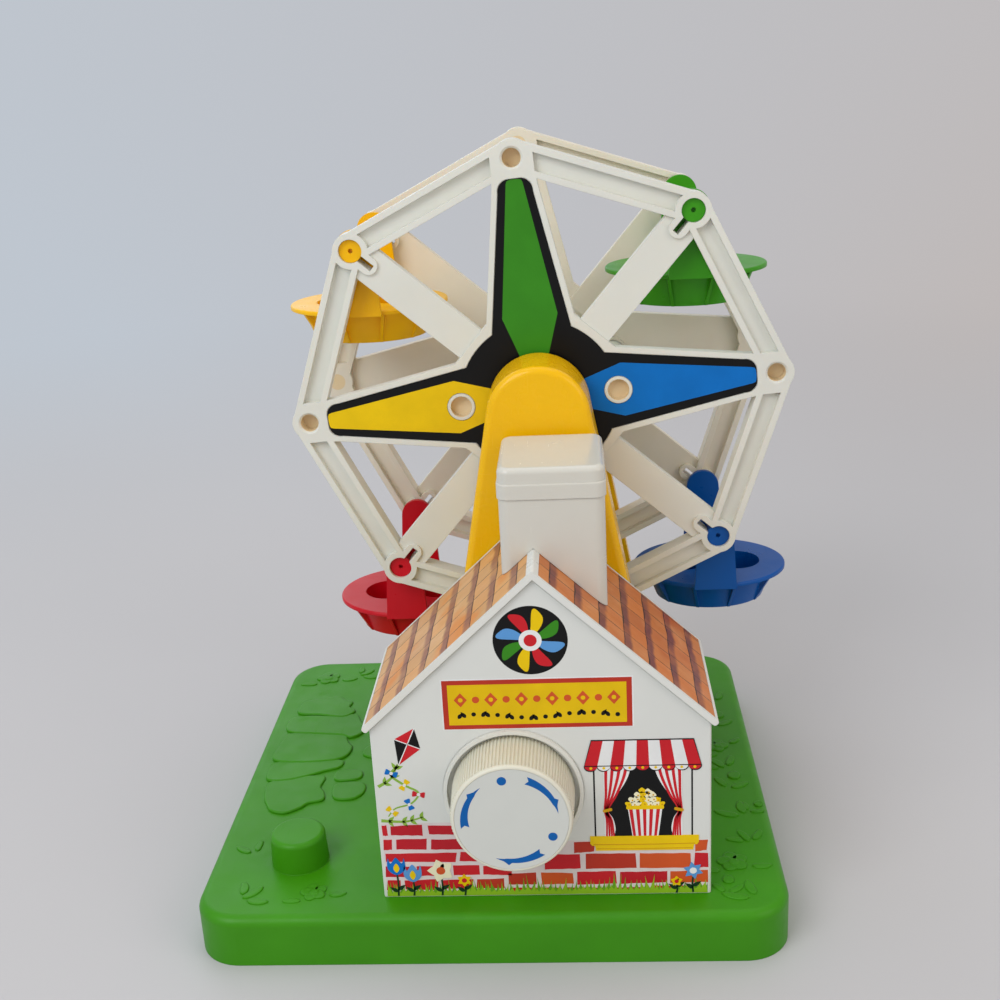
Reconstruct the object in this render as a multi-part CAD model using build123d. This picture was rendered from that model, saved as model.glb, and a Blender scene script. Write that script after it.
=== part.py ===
from build123d import *
import os
import math

# Toy Ferris wheel with a clockwork movement, real size, millimetres.
# +X right, +Y to the back, +Z up. The origin is the centre of the base's
# underside. The front of the toy, with the winding knob, faces -Y.

# ---------------------------------------------------------------- dimensions
BASE_W, BASE_D, BASE_H = 255.8, 245.8, 23.4     # green base
BASE_CX = -0.4                                  # its middle, beside the origin
BASE_R = 20.0                                   # corner radius in plan
BASE_EDGE = 4.2                                 # rounding of the top edge
WALL = 2.6                                      # base wall
PEG_X, PEG_Y, PEG_Z = -88.0, -78.9, 38.0        # boarding peg, top height
PEG_R0, PEG_R1 = 13.0, 12.2

HOUSE_X0, HOUSE_X1 = -45.8, 94.2                # house side walls
HOUSE_Y0, HOUSE_Y1 = -108.2, -36.4              # house front and back faces
HOUSE_WALL = 2.4
RIDGE_X, RIDGE_Z = 24.2, 173.9                  # roof ridge
EAVE_HALF, EAVE_Z = 73.15, 106.0                # eave tip from ridge, height
ROOF_T = 2.8
ROOF_Y0, ROOF_Y1 = -110.2, -34.4
CHIM_X0, CHIM_X1 = 10.7, 54.0                   # chimney
CHIM_Y0, CHIM_Y1 = -85.9, -37.2
CHIM_TOP, CAP_Z0, CAP_Z1 = 208.0, 195.0, 201.5

KNOB_X, KNOB_Z = 12.4, 74.3                     # winding axis
KNOB_R, KNOB_R1, KNOB_FLUTES = 24.9, 25.7, 104  # front and back radius
KNOB_Y0, KNOB_Y1 = -129.3, -106.9
COLLAR_RO, COLLAR_RI, COLLAR_H = 29.3, 27.6, 1.7
RECESS_Y, RECESS_T = -106.4, 2.4                # floor of the knob's recess

AXLE_X, AXLE_Z = 26.8, 214.4                    # wheel axle
TOWER_R, TOWER_SLOPE = 23.0, 0.183              # arch radius, side taper
TOWER_Z = 213.6
FT_Y0, FT_Y1, FT_Y2 = -33.4, -5.0, -3.0         # front tower
RT_Y0, RT_Y1, RT_Y2 = 89.5, 91.5, 113.0         # rear tower

WHEEL_R = 107.7                                 # axle to corner holes
WHEEL_TILT = 4.25                               # degrees, as it stands
WF_Y, WR_Y = -1.0, 87.0                         # outer faces of the frames
FRAME_T = 9.0
RIM_OUT, RIM_IN, RAIL = 7.6, 5.4, 2.8           # rim bar about corner lines
SPOKE_W = 16.0
ARM_W33, ARM_W95 = 17.9, 7.6                    # star half widths at r 33, 95
ARM_TIP = 99.0
BORDER = 2.6
ARM_PLATE, SPOKE_BACK = 5.0, 6.0                # backs of the arms and spokes
HUB_LABEL_R = 36.5
HUB_FLAT = 40.0
PIN_R, PIN_HOLE_R = 5.2, 5.28
TIE_R = 36.2                                    # tie tube radius on the arms
AXLE_R, AXLE_HOLE_R = 3.0, 3.06

SEAT_A, SEAT_B = 38.0, 32.0                     # seat rim half axes
SEAT_RIM, SEAT_RIM_T = -29.6, 2.0               # rim top below the pin
SEAT_BOTTOM = -46.0
WELL_X, WELL_R, WELL_FLOOR = 13.4, 12.0, -44.2

BARREL_T, CYL_T, M_BIG = 48, 18, 0.8            # gear teeth and modules
CYLG_T, IDL_P, M_MID = 36, 12, 0.5
IDL_G, FLY_P, M_FINE = 30, 10, 0.4

MID_Y = (WF_Y + WR_Y) / 2
M = (2 * RIDGE_Z - 2 * EAVE_Z) / (2 * EAVE_HALF)      # roof slope
COS = 1 / math.sqrt(1 + M * M)
SIN = M * COS

parts = {}


# ------------------------------------------------------------------- helpers
def front(x=0.0, y=0.0, z=0.0):
    """Sketch plane seen from the front: sketch x is X, sketch y is Z."""
    return Plane(origin=(x, y, z), x_dir=(1, 0, 0), z_dir=(0, -1, 0))


def slab(sketch, y0, y1, x=0.0, z=0.0):
    """Push a front-view sketch from y0 back to y1."""
    return extrude(front(x, y0, z) * sketch, amount=-(y1 - y0))


def poly(pts):
    return make_face(Polyline(*[(float(a), float(b)) for a, b in pts], close=True))


def disc(r, x=0.0, z=0.0):
    return Pos(x, z) * Circle(r)


def rod(r, x, z, y0, y1):
    return slab(disc(r), y0, y1, x, z)


def tube(ro, ri, x, z, y0, y1):
    return slab(disc(ro) - disc(ri), y0, y1, x, z)


def box(x0, x1, y0, y1, z0, z1):
    return Pos((x0 + x1) / 2, (y0 + y1) / 2, (z0 + z1) / 2) * Box(x1 - x0, y1 - y0, z1 - z0)


def pillar(r, x, y, z0, z1):
    return Pos(x, y, (z0 + z1) / 2) * Cylinder(r, z1 - z0)


def group(solids):
    return Compound(children=[s for s in solids])


def polar(r, deg):
    return r * math.cos(math.radians(deg)), r * math.sin(math.radians(deg))


def gear_outline(teeth, module, phase, thin=0.40):
    """Toothed outline; a tooth is centred on the angle phase, in degrees."""
    rp = teeth * module / 2
    ra, rf = rp + 0.92 * module, rp - 1.25 * module
    pitch = 360.0 / teeth
    pts = []
    for i in range(teeth):
        c = phase + i * pitch
        for r, f in ((rf, -0.297), (rp, -thin / 2), (ra, -0.105),
                     (ra, 0.105), (rp, thin / 2), (rf, 0.297)):
            pts.append(polar(r, c + f * pitch))
    return poly(pts)


# ------------------------------------------------------------ base and peg
base_sk = RectangleRounded(BASE_W, BASE_D, BASE_R)
base = Pos(BASE_CX, 0, 0) * extrude(base_sk, amount=BASE_H)
base = fillet(base.edges().group_by(Axis.Z)[-1], BASE_EDGE)
inner = Pos(BASE_CX, 0, 0) * extrude(RectangleRounded(BASE_W - 2 * WALL, BASE_D - 2 * WALL, BASE_R - WALL),
                                     amount=BASE_H - WALL)
inner = fillet(inner.edges().group_by(Axis.Z)[-1], BASE_EDGE - WALL)
base -= inner
peg_sk = make_face(Polyline((0, 0), (PEG_R0, 0), (PEG_R1, PEG_Z - BASE_H + 1), (0, PEG_Z - BASE_H + 1), close=True))
peg = Pos(PEG_X, PEG_Y, BASE_H - 1) * revolve(Plane.XZ * peg_sk, Axis.Z)
peg = fillet(peg.edges().group_by(Axis.Z)[-1], 2.2)
base += peg
base -= pillar(PEG_R1 - 2.4, PEG_X, PEG_Y, BASE_H - WALL - 0.1, PEG_Z - 2.4)
# one full-depth rib from front to back, flush with the rim so that the base
# stands on it too, and shallow stiffening ribs under the top
RIB_TOP = BASE_H - WALL + 0.6
base += box(-1.2, 1.2, -BASE_D / 2 + WALL - 0.5, BASE_D / 2 - WALL + 0.5, 0, RIB_TOP)
for x in (-72.0, 72.0):
    base += box(x - 1.0, x + 1.0, -BASE_D / 2 + WALL - 0.5, BASE_D / 2 - WALL + 0.5, 16.0, RIB_TOP)
for y in (-58.0, 0.0, 58.0):
    base += box(BASE_CX - BASE_W / 2 + WALL - 0.5, BASE_CX + BASE_W / 2 - WALL + 0.5, y - 1.0, y + 1.0, 16.0, RIB_TOP)

TX0, TX1 = AXLE_X - 40.0, AXLE_X + 40.0
HOUSE_BOSS = [(-37.0, -99.0), (85.4, -99.0), (-37.0, -46.0), (85.4, -46.0)]
FT_BOSS = [(TX0, -19.0), (TX1, -19.0)]
RT_BOSS = [(TX0 + 3, 102.0), (TX1 - 3, 102.0)]
SCREW_Z = 15.0                         # seat of the screw heads under the base
screws = []
for bx, by in HOUSE_BOSS + FT_BOSS + RT_BOSS:
    base += pillar(4.4, bx, by, SCREW_Z, BASE_H - 1)
    base -= pillar(1.7, bx, by, SCREW_Z - 1, BASE_H + 1)
    s = pillar(1.45, bx, by, SCREW_Z - 0.1, BASE_H + 9.0) + pillar(3.0, bx, by, SCREW_Z - 2.0, SCREW_Z - 0.05)
    s -= box(bx - 2.2, bx + 2.2, by - 0.4, by + 0.4, SCREW_Z - 2.1, SCREW_Z - 1.1)
    s -= box(bx - 0.4, bx + 0.4, by - 2.2, by + 2.2, SCREW_Z - 2.1, SCREW_Z - 1.1)
    screws.append(s)
parts["base_shell"] = base
parts["base_screws"] = group(screws)

# ------------------------------------------------------------------ house
drop = ROOF_T / COS                    # roof thickness measured upright
wall_top = EAVE_Z + (HOUSE_X0 - (RIDGE_X - EAVE_HALF)) * M - drop
gable = [(HOUSE_X0, BASE_H), (HOUSE_X1, BASE_H), (HOUSE_X1, wall_top),
         (RIDGE_X, RIDGE_Z - drop), (HOUSE_X0, wall_top)]
house = slab(poly(gable), HOUSE_Y0, HOUSE_Y1)
house = fillet(house.edges().filter_by(Axis.Z), 1.2)
house -= box(HOUSE_X0 + HOUSE_WALL, HOUSE_X1 - HOUSE_WALL, HOUSE_Y0 + HOUSE_WALL,
             HOUSE_Y1 - HOUSE_WALL, 0, 300)
for bx, by in HOUSE_BOSS:
    house += pillar(4.0, bx, by, BASE_H, BASE_H + 13)
    web = box(HOUSE_X0 + 1, bx, by - 0.9, by + 0.9, BASE_H, BASE_H + 12) if bx < 20 else \
        box(bx, HOUSE_X1 - 1, by - 0.9, by + 0.9, BASE_H, BASE_H + 12)
    house += web
    house -= pillar(1.5, bx, by, BASE_H - 1, BASE_H + 11)
# round recess for the knob, with a raised ring outside and a floor inside
house += rod(COLLAR_RO, KNOB_X, KNOB_Z, HOUSE_Y0 - COLLAR_H, RECESS_Y + RECESS_T)
house -= rod(COLLAR_RI, KNOB_X, KNOB_Z, HOUSE_Y0 - COLLAR_H - 1, RECESS_Y)
house -= rod(2.06, KNOB_X, KNOB_Z, RECESS_Y - 1, -95.0)
# hole in the back wall for the drive hub
house -= rod(7.0, KNOB_X, KNOB_Z, HOUSE_Y1 - 5, HOUSE_Y1 + 1)
MOUNTS_M = [(-17.0, 46.0), (67.0, 46.0), (67.0, 101.0), (-17.0, 101.0)]
for px, pz in MOUNTS_M:
    house += rod(3.6, px, pz, HOUSE_Y0 + 1, -90.0)
    house -= rod(1.3, px, pz, -100.0, -89.0)
parts["house_shell"] = house

label = slab(poly([(HOUSE_X0 + 0.7, BASE_H + 0.4), (HOUSE_X1 - 0.7, BASE_H + 0.4),
                   (HOUSE_X1 - 0.7, wall_top - 0.4), (RIDGE_X, RIDGE_Z - drop - 0.4 - 0.7 * M),
                   (HOUSE_X0 + 0.7, wall_top - 0.4)]), HOUSE_Y0 - 0.25, HOUSE_Y0)
label -= rod(COLLAR_RO + 0.3, KNOB_X, KNOB_Z, HOUSE_Y0 - 2, HOUSE_Y0 + 2)
parts["house_front_label"] = label

# ------------------------------------------------------------------- roof
EX0, EX1 = RIDGE_X - EAVE_HALF, RIDGE_X + EAVE_HALF
roof_pts = [(EX0, EAVE_Z), (RIDGE_X, RIDGE_Z), (EX1, EAVE_Z),
            (EX1 - ROOF_T * SIN, EAVE_Z - ROOF_T * COS),
            (RIDGE_X, RIDGE_Z - drop), (EX0 + ROOF_T * SIN, EAVE_Z - ROOF_T * COS)]
roof_sk = poly(roof_pts)
roof = slab(roof_sk, ROOF_Y0, ROOF_Y1)
tips = [e for e in roof.edges().filter_by(Axis.Y) if e.center().Z < EAVE_Z + 1]
roof = fillet(tips, 1.15)
top = [e for e in roof.edges().filter_by(Axis.Y) if e.center().Z > RIDGE_Z - 0.5]
roof = fillet(top, 1.2)
LEN = math.hypot(EAVE_HALF, RIDGE_Z - EAVE_Z)
RIDGE_GAP, SIDE_GAP, EAVE_GAP = 3.4, 1.2, 2.2
for side in (-1, 1):
    # sheet lying in the slope, from near the ridge to near the eave
    mid = (RIDGE_GAP + LEN - EAVE_GAP) / 2
    length = LEN - EAVE_GAP - RIDGE_GAP
    width = (ROOF_Y1 - ROOF_Y0) - 2 * SIDE_GAP
    cx, cz = RIDGE_X + side * mid * COS, RIDGE_Z - mid * SIN
    plane = Plane(origin=(cx, (ROOF_Y0 + ROOF_Y1) / 2, cz), x_dir=(side * COS, 0, -SIN),
                  z_dir=(side * SIN, 0, COS))
    roof -= extrude(plane * Rectangle(length, width), amount=-0.45) + \
        extrude(plane * Rectangle(length, width), amount=2)
    sheet = extrude(plane.offset(-0.45) * Rectangle(length - 0.3, width - 0.3), amount=0.3)
    parts["roof_label_" + ("left" if side < 0 else "right")] = sheet
parts["roof_shell"] = roof

# ---------------------------------------------------------------- chimney
roof_cut = slab(poly([(EX0, EAVE_Z - 0.0), (RIDGE_X, RIDGE_Z), (EX1, EAVE_Z), (EX1, -50), (EX0, -50)]),
                ROOF_Y0 - 5, ROOF_Y1 + 5)
cx, cy = (CHIM_X0 + CHIM_X1) / 2, (CHIM_Y0 + CHIM_Y1) / 2
cw, cd = CHIM_X1 - CHIM_X0, CHIM_Y1 - CHIM_Y0
stack = Pos(cx, cy, 120) * extrude(RectangleRounded(cw, cd, 4.5), amount=CAP_Z0 - 120)
stack -= Pos(cx, cy, 110) * extrude(RectangleRounded(cw - 4, cd - 4, 2.5), amount=CAP_Z0 - 110 - 2.2)
stack -= roof_cut
parts["chimney_stack"] = stack
cap = Pos(cx, cy, CAP_Z0) * extrude(RectangleRounded(cw + 1.2, cd + 1.2, 5.0), amount=CAP_Z1 - CAP_Z0)
cap = fillet(cap.edges().group_by(Axis.Z)[-1], 0.6)
cap += Pos(cx, cy, CAP_Z1 - 1) * extrude(RectangleRounded(cw + 0.2, cd + 0.2, 4.8), amount=CHIM_TOP - CAP_Z1 + 1)
cap = fillet(cap.edges().group_by(Axis.Z)[-1], 2.4)
cap -= Pos(cx, cy, CAP_Z0 - 1) * extrude(RectangleRounded(cw - 5, cd - 5, 3), amount=CHIM_TOP - CAP_Z0 - 2)
parts["chimney_cap"] = cap


# ----------------------------------------------------------------- towers
def tower_outline(r, inset=0.0, z0=BASE_H):
    r = r - inset
    a = math.atan(TOWER_SLOPE)
    tx, tz = r * math.cos(a), TOWER_Z + r * math.sin(a)
    half = tx + (tz - z0) * TOWER_SLOPE
    arc = ThreePointArc((AXLE_X - tx, tz), (AXLE_X, TOWER_Z + r), (AXLE_X + tx, tz))
    sides = Polyline((AXLE_X + tx, tz), (AXLE_X + half, z0), (AXLE_X - half, z0), (AXLE_X - tx, tz))
    return make_face(arc + sides)


LOW_HUB_R = 4.5
ft = slab(tower_outline(TOWER_R), FT_Y0, FT_Y1)
ft = fillet([e for e in ft.faces().sort_by(Axis.Y)[0].edges() if e.center().Z > BASE_H + 1], 3.2)
ft -= slab(tower_outline(TOWER_R, 2.2, BASE_H - 5), FT_Y0 + 2.4, FT_Y1 + 1)
ft += tube(7.5, 5.02, AXLE_X, AXLE_Z, FT_Y0 + 2, -27.0)
ft -= rod(7.0, KNOB_X, KNOB_Z, FT_Y0 - 1, FT_Y0 + 5)
for bx, by in FT_BOSS:
    ft += pillar(4.0, bx, by, BASE_H, BASE_H + 13)
    ft += box(bx - 0.9, bx + 0.9, FT_Y0 + 1.5, by, BASE_H, BASE_H + 12)
    ft -= pillar(1.5, bx, by, BASE_H - 1, BASE_H + 11)
PLATE_F = [(AXLE_X - 22.4, 188.0), (AXLE_X + 22.4, 188.0), (AXLE_X - 44.0, 50.0), (AXLE_X + 44.0, 50.0)]
for px, pz in PLATE_F:
    ft += rod(3.2, px, pz, FT_Y0 + 2, FT_Y1)
    ft -= rod(1.2, px, pz, FT_Y1 - 12, FT_Y1 + 1)
parts["front_tower_housing"] = ft

fp = slab(tower_outline(TOWER_R, 0.35), FT_Y1, FT_Y2)
fp -= rod(5.02, AXLE_X, AXLE_Z, FT_Y1 - 1, FT_Y2 + 1)
plate_screws = []
for px, pz in PLATE_F:
    fp -= rod(1.3, px, pz, FT_Y1 - 1, FT_Y2 + 1)
    fp -= rod(2.3, px, pz, FT_Y2 - 1.1, FT_Y2 + 1)
    plate_screws.append(rod(1.1, px, pz, FT_Y1 - 8, FT_Y2 - 1.0) + rod(2.2, px, pz, FT_Y2 - 1.1, FT_Y2 - 0.2))
parts["front_tower_back_plate"] = fp

RT_R = 21.5
rt = slab(tower_outline(RT_R), RT_Y1, RT_Y2)
rt = fillet([e for e in rt.faces().sort_by(Axis.Y)[-1].edges() if e.center().Z > BASE_H + 1], 3.2)
rt -= slab(tower_outline(RT_R, 2.2, BASE_H - 5), RT_Y1 - 1, RT_Y2 - 2.4)
rt += tube(7.5, 3.4, AXLE_X, AXLE_Z, 104.0, RT_Y2 - 2)
for bx, by in RT_BOSS:
    rt += pillar(4.0, bx, by, BASE_H, BASE_H + 13)
    rt += box(bx - 0.9, bx + 0.9, by, RT_Y2 - 1.5, BASE_H, BASE_H + 12)
    rt -= pillar(1.5, bx, by, BASE_H - 1, BASE_H + 11)
PLATE_R = [(AXLE_X - 20.6, 188.0), (AXLE_X + 20.6, 188.0), (AXLE_X - 42.0, 50.0), (AXLE_X + 42.0, 50.0)]
rp = slab(tower_outline(RT_R, 0.35), RT_Y0, RT_Y1)
rp -= rod(5.02, AXLE_X, AXLE_Z, RT_Y0 - 1, RT_Y1 + 1)
for px, pz in PLATE_R:
    rt += rod(3.2, px, pz, RT_Y1, RT_Y2 - 2)
    rt -= rod(1.2, px, pz, RT_Y1 - 1, RT_Y1 + 12)
    rp -= rod(1.3, px, pz, RT_Y0 - 1, RT_Y1 + 1)
    rp -= rod(2.3, px, pz, RT_Y0 - 1, RT_Y0 + 1.1)
    plate_screws.append(rod(1.1, px, pz, RT_Y0 + 1.0, RT_Y1 + 8) + rod(2.2, px, pz, RT_Y0 + 0.2, RT_Y0 + 1.1))
parts["rear_tower_housing"] = rt
parts["rear_tower_front_plate"] = rp
parts["tower_plate_screws"] = group(plate_screws)

# three flanged bushes that carry the axle; the flange sits inside the tower
bushes = []
for y0, y1, f0, f1 in ((FT_Y1 - 1.6, FT_Y2, FT_Y1 - 1.6, FT_Y1), (-31.0, -25.4, -27.0, -25.4),
                       (RT_Y0, RT_Y1 + 1.6, RT_Y1, RT_Y1 + 1.6)):
    b = rod(5.0, AXLE_X, AXLE_Z, y0, y1) + rod(6.8, AXLE_X, AXLE_Z, f0, f1)
    b -= rod(AXLE_HOLE_R, AXLE_X, AXLE_Z, y0 - 1, y1 + 1)
    bushes.append(b)
parts["axle_bushes"] = group(bushes)


# ----------------------------------------------------------- wheel frames
def arm_half(r):
    return ARM_W33 - (r - 33.0) * (ARM_W33 - ARM_W95) / 62.0


def vertex(k):
    return polar(WHEEL_R, 90 + WHEEL_TILT + 45 * k)


def spin(sk, k):
    return Rot(0, 0, WHEEL_TILT + 45 * k) * sk


def arm_outline(grow=0.0):
    """One star arm pointing up, with a rounded tip."""
    t = ARM_TIP + grow
    w0, w1 = arm_half(20) + grow, arm_half(t - 6) + grow
    a = make_face(Polyline((-w0, 20), (w0, 20), (w1, t - 6), (w1 - 0.2, t), (-w1 + 0.2, t), (-w1, t - 6), close=True))
    corners = a.vertices().group_by(Axis.Y)[-1]
    return fillet(corners, 5.2)


def star(grow=0.0, hub=None):
    s = hub if hub is not None else Circle(HUB_LABEL_R + grow)
    for k in (0, 2, 4, 6):
        s += spin(arm_outline(grow), k)
    return s


def octagon(grow):
    """Rim line moved outwards by grow (inwards if negative)."""
    apo = WHEEL_R * math.cos(math.pi / 8) + grow
    r = apo / math.cos(math.pi / 8)
    return poly([polar(r, 90 + WHEEL_TILT + 45 * k) for k in range(8)])


rim_outer = octagon(RIM_OUT)
rim_outer = fillet(rim_outer.vertices(), 8.5)
hub_square = spin(Rot(0, 0, 45) * Rectangle(2 * HUB_FLAT, 2 * HUB_FLAT), 0)
star_outer = star(BORDER, hub_square)
star_label = star(0.0)
tie_pts = [polar(TIE_R, 90 + WHEEL_TILT + 45 * k) for k in (2, 6)]
discs = None
for k in range(8):
    d = disc(8.0, *vertex(k))
    discs = d if discs is None else discs + d
# the rim grooves stop square at the arm ends and round the hinge holes
stops = discs
for k in (0, 2, 4, 6):
    stops += spin(Pos(0, WHEEL_R) * Rectangle(19.0, 44.0), k)


def cone(x, z, y0, r0, y1, r1):
    """Cone about a front-to-back axis, r0 wide at y0 and r1 at y1."""
    return Pos(x, (y0 + y1) / 2, z) * Rot(-90, 0, 0) * Cone(r0, r1, y1 - y0)


def spoke(width, r0, r1):
    return Pos(0, (r0 + r1) / 2) * Rectangle(width, r1 - r0)


def build_frame(screwed):
    """Front frame; its printed face is at WF_Y."""
    def s(sk, a, b):
        return slab(sk, WF_Y + a, WF_Y + b, AXLE_X, AXLE_Z)
    rim = s(rim_outer - octagon(-RIM_IN), 0, FRAME_T)
    groove = octagon(RIM_OUT - RAIL) - octagon(-(RIM_IN - RAIL)) - stops
    rim -= s(groove, -1, 3.0) + s(groove, 5.4, FRAME_T + 1)
    body = rim
    for k in (1, 3, 5, 7):
        bar = s(spin(spoke(SPOKE_W, 30, WHEEL_R), k), 1.2, SPOKE_BACK)
        # the bar stops at the inside of the rim
        bar &= s(octagon(-RIM_IN + 0.6), 0, FRAME_T + 1)
        body += bar
    body += s(discs, 0, FRAME_T)
    body += s(star_outer & octagon(-RIM_IN + 1.0), 0, ARM_PLATE)
    # recess for the printed sheet, and a round seat for the drum at the back
    body -= s(star_label, -1, 0.6)
    body += s(disc(28.6), 0.6, FRAME_T)
    for tx, tz in tie_pts:
        body += s(disc(6.3, tx, tz), 0.0, 4.6)
        body += s(disc(7.0, tx, tz) - disc(5.8, tx, tz), 2.5, FRAME_T)
        body -= s(disc(4.85, tx, tz), -1, 3.8)
        if screwed:
            body -= s(disc(1.5, tx, tz), 2.0, FRAME_T)
    body -= s(disc(AXLE_R + 0.02), -1, FRAME_T + 1)
    for k in (0, 2, 4, 6):
        vx, vz = vertex(k)
        body -= s(disc(4.1, vx, vz), -1, 6.6)
        body -= cone(AXLE_X + vx, AXLE_Z + vz, WF_Y - 0.01, 5.0, WF_Y + 0.9, 4.1)
    # hinge holes with an assembly slot towards the hub
    for k in (1, 3, 5, 7):
        vx, vz = vertex(k)
        u = 90 + WHEEL_TILT + 45 * k
        mx, mz = polar(WHEEL_R - 8.6, u)
        sx, sz = polar(WHEEL_R - 6.0, u)
        lobe = Pos(mx, mz) * Rot(0, 0, u) * SlotOverall(11.5, 8.2)
        body += s(lobe, 0, FRAME_T)
        slot = Pos(sx, sz) * Rot(0, 0, u) * Rectangle(12.4, 3.0)
        body -= s(slot, -1, FRAME_T + 1)
        body -= s(disc(PIN_HOLE_R, vx, vz), -1, FRAME_T + 1)
    return body


parts["wheel_front_frame"] = build_frame(False)
flip = Plane(origin=(0, MID_Y, 0), x_dir=(1, 0, 0), z_dir=(0, 1, 0))
parts["wheel_rear_frame"] = mirror(build_frame(True), about=flip)

lab = slab(star(-0.25), WF_Y + 0.3, WF_Y + 0.6, AXLE_X, AXLE_Z)
for tx, tz in tie_pts:
    lab -= slab(disc(6.5, tx, tz), WF_Y - 1, WF_Y + 1, AXLE_X, AXLE_Z)
lab -= slab(disc(AXLE_R + 0.6), WF_Y - 1, WF_Y + 1, AXLE_X, AXLE_Z)
parts["wheel_front_label"] = lab
parts["wheel_rear_label"] = mirror(lab, about=flip)

# hub drum between the frames, tie tubes, their screws
IN0, IN1 = WF_Y + FRAME_T, WR_Y - FRAME_T
drum = tube(28.0, 25.8, AXLE_X, AXLE_Z, IN0, IN1)
drum += rod(26.5, AXLE_X, AXLE_Z, MID_Y - 1.2, MID_Y + 1.2)
drum += rod(7.0, AXLE_X, AXLE_Z, IN0, IN1)
drum -= rod(AXLE_R + 0.02, AXLE_X, AXLE_Z, IN0 - 1, IN1 + 1)
parts["wheel_hub_drum"] = drum
ties, wscrews = [], []
for tx, tz in tie_pts:
    x, z = AXLE_X + tx, AXLE_Z + tz
    # the front end is welded into its socket, the back end takes a screw
    t = rod(5.6, x, z, IN0 - FRAME_T + ARM_PLATE + 0.02, IN1 + FRAME_T - ARM_PLATE - 0.02)
    t -= rod(1.5, x, z, IN1 - 14, IN1 + 5)
    ties.append(t)
    wscrews.append(rod(1.4, x, z, IN1 - 8, WR_Y - 3.8) + rod(3.4, x, z, WR_Y - 3.8, WR_Y - 2.0))
parts["wheel_tie_tubes"] = group(ties)
parts["wheel_screws"] = group(wscrews)
parts["wheel_axle"] = rod(AXLE_R, AXLE_X, AXLE_Z, -30.0, 109.8)


# -------------------------------------------------------------- seats
def ellipse_loft(a0, b0, z0, a1, b1, z1):
    return loft([Plane.XY.offset(z0) * Ellipse(a0, b0), Plane.XY.offset(z1) * Ellipse(a1, b1)])


RIM_B = SEAT_RIM - SEAT_RIM_T
IN_HALF = (IN1 - IN0) / 2                       # frame inner face from middle


def build_seat():
    rim = Pos(0, 0, RIM_B) * extrude(Ellipse(SEAT_A, SEAT_B), amount=SEAT_RIM_T)
    rim = fillet(rim.edges().group_by(Axis.Z)[-1], 0.9)
    skirt = ellipse_loft(27.0, 22.2, SEAT_BOTTOM, 32.6, 27.2, RIM_B + 0.6)
    fins = None
    # four ribs lean in under the hangers, four more stand out to the corners
    for sx in (-1, 1):
        lean = poly([(sx * 9.5, RIM_B + 0.5), (sx * 11.0, RIM_B + 0.5), (sx * 8.4, SEAT_BOTTOM), (sx * 6.9, SEAT_BOTTOM)])
        f = slab(lean, -40, 40)
        fins = f if fins is None else fins + f
    for a in (32, 148, 212, 328):
        f = Rot(0, 0, a) * box(10, 45, -0.8, 0.8, SEAT_BOTTOM, RIM_B + 0.5)
        fins += f
    fins &= ellipse_loft(27.5, 22.7, SEAT_BOTTOM, 36.4, 30.6, RIM_B + 0.6)
    body = rim + skirt + fins
    body -= ellipse_loft(25.3, 20.5, SEAT_BOTTOM - 0.2, 30.6, 25.2, RIM_B)
    for x in (-WELL_X, WELL_X):
        body += pillar(WELL_R + 1.0, x, 0, SEAT_BOTTOM + 0.4, RIM_B + 0.5)
    for x in (-WELL_X, WELL_X):
        body -= pillar(WELL_R, x, 0, WELL_FLOOR, SEAT_RIM + 3)
    for side in (-1, 1):
        a = math.atan2(10.3 - 8.2, 31.7)
        tx, tz = 8.2 * math.cos(a), 8.2 * math.sin(a)
        arc = ThreePointArc((-tx, tz), (0, 8.2), (tx, tz))
        low = Polyline((tx, tz), (10.3, RIM_B), (-10.3, RIM_B), (-tx, tz))
        face = make_face(arc + low)
        y0, y1 = (-33.6, -31.0) if side < 0 else (31.0, 33.6)
        body += slab(face, y0, y1)
        body += box(-10.3, 10.3, min(side * 33.6, side * 24), max(side * 33.6, side * 24), RIM_B, SEAT_RIM)
        # thickened round the pin, then the pin itself
        y0, y1 = sorted((side * 33.5, side * (IN_HALF - 0.35)))
        body += rod(7.0, 0, 0, y0, y1)
        y0, y1 = sorted((side * 33.5, side * (IN_HALF + FRAME_T - 1.7)))
        body += rod(PIN_R, 0, 0, y0, y1)
        y0, y1 = sorted((side * (IN_HALF + FRAME_T - 3.9), side * (IN_HALF + FRAME_T)))
        body -= rod(1.05, 0, 0, y0, y1)
    return body


seat = build_seat()
for name, k in (("seat_yellow", 1), ("seat_red", 3), ("seat_blue", 5), ("seat_green", 7)):
    vx, vz = vertex(k)
    parts[name] = Pos(AXLE_X + vx, MID_Y, AXLE_Z + vz) * seat

# --------------------------------------------------------------- knob
flute = 360.0 / KNOB_FLUTES


def flutes(r_top):
    pts = []
    for i in range(KNOB_FLUTES):
        for f, r in ((-0.32, r_top - 0.5), (-0.18, r_top), (0.18, r_top), (0.32, r_top - 0.5)):
            pts.append(polar(r, (i + f) * flute))
    return poly(pts)


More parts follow.
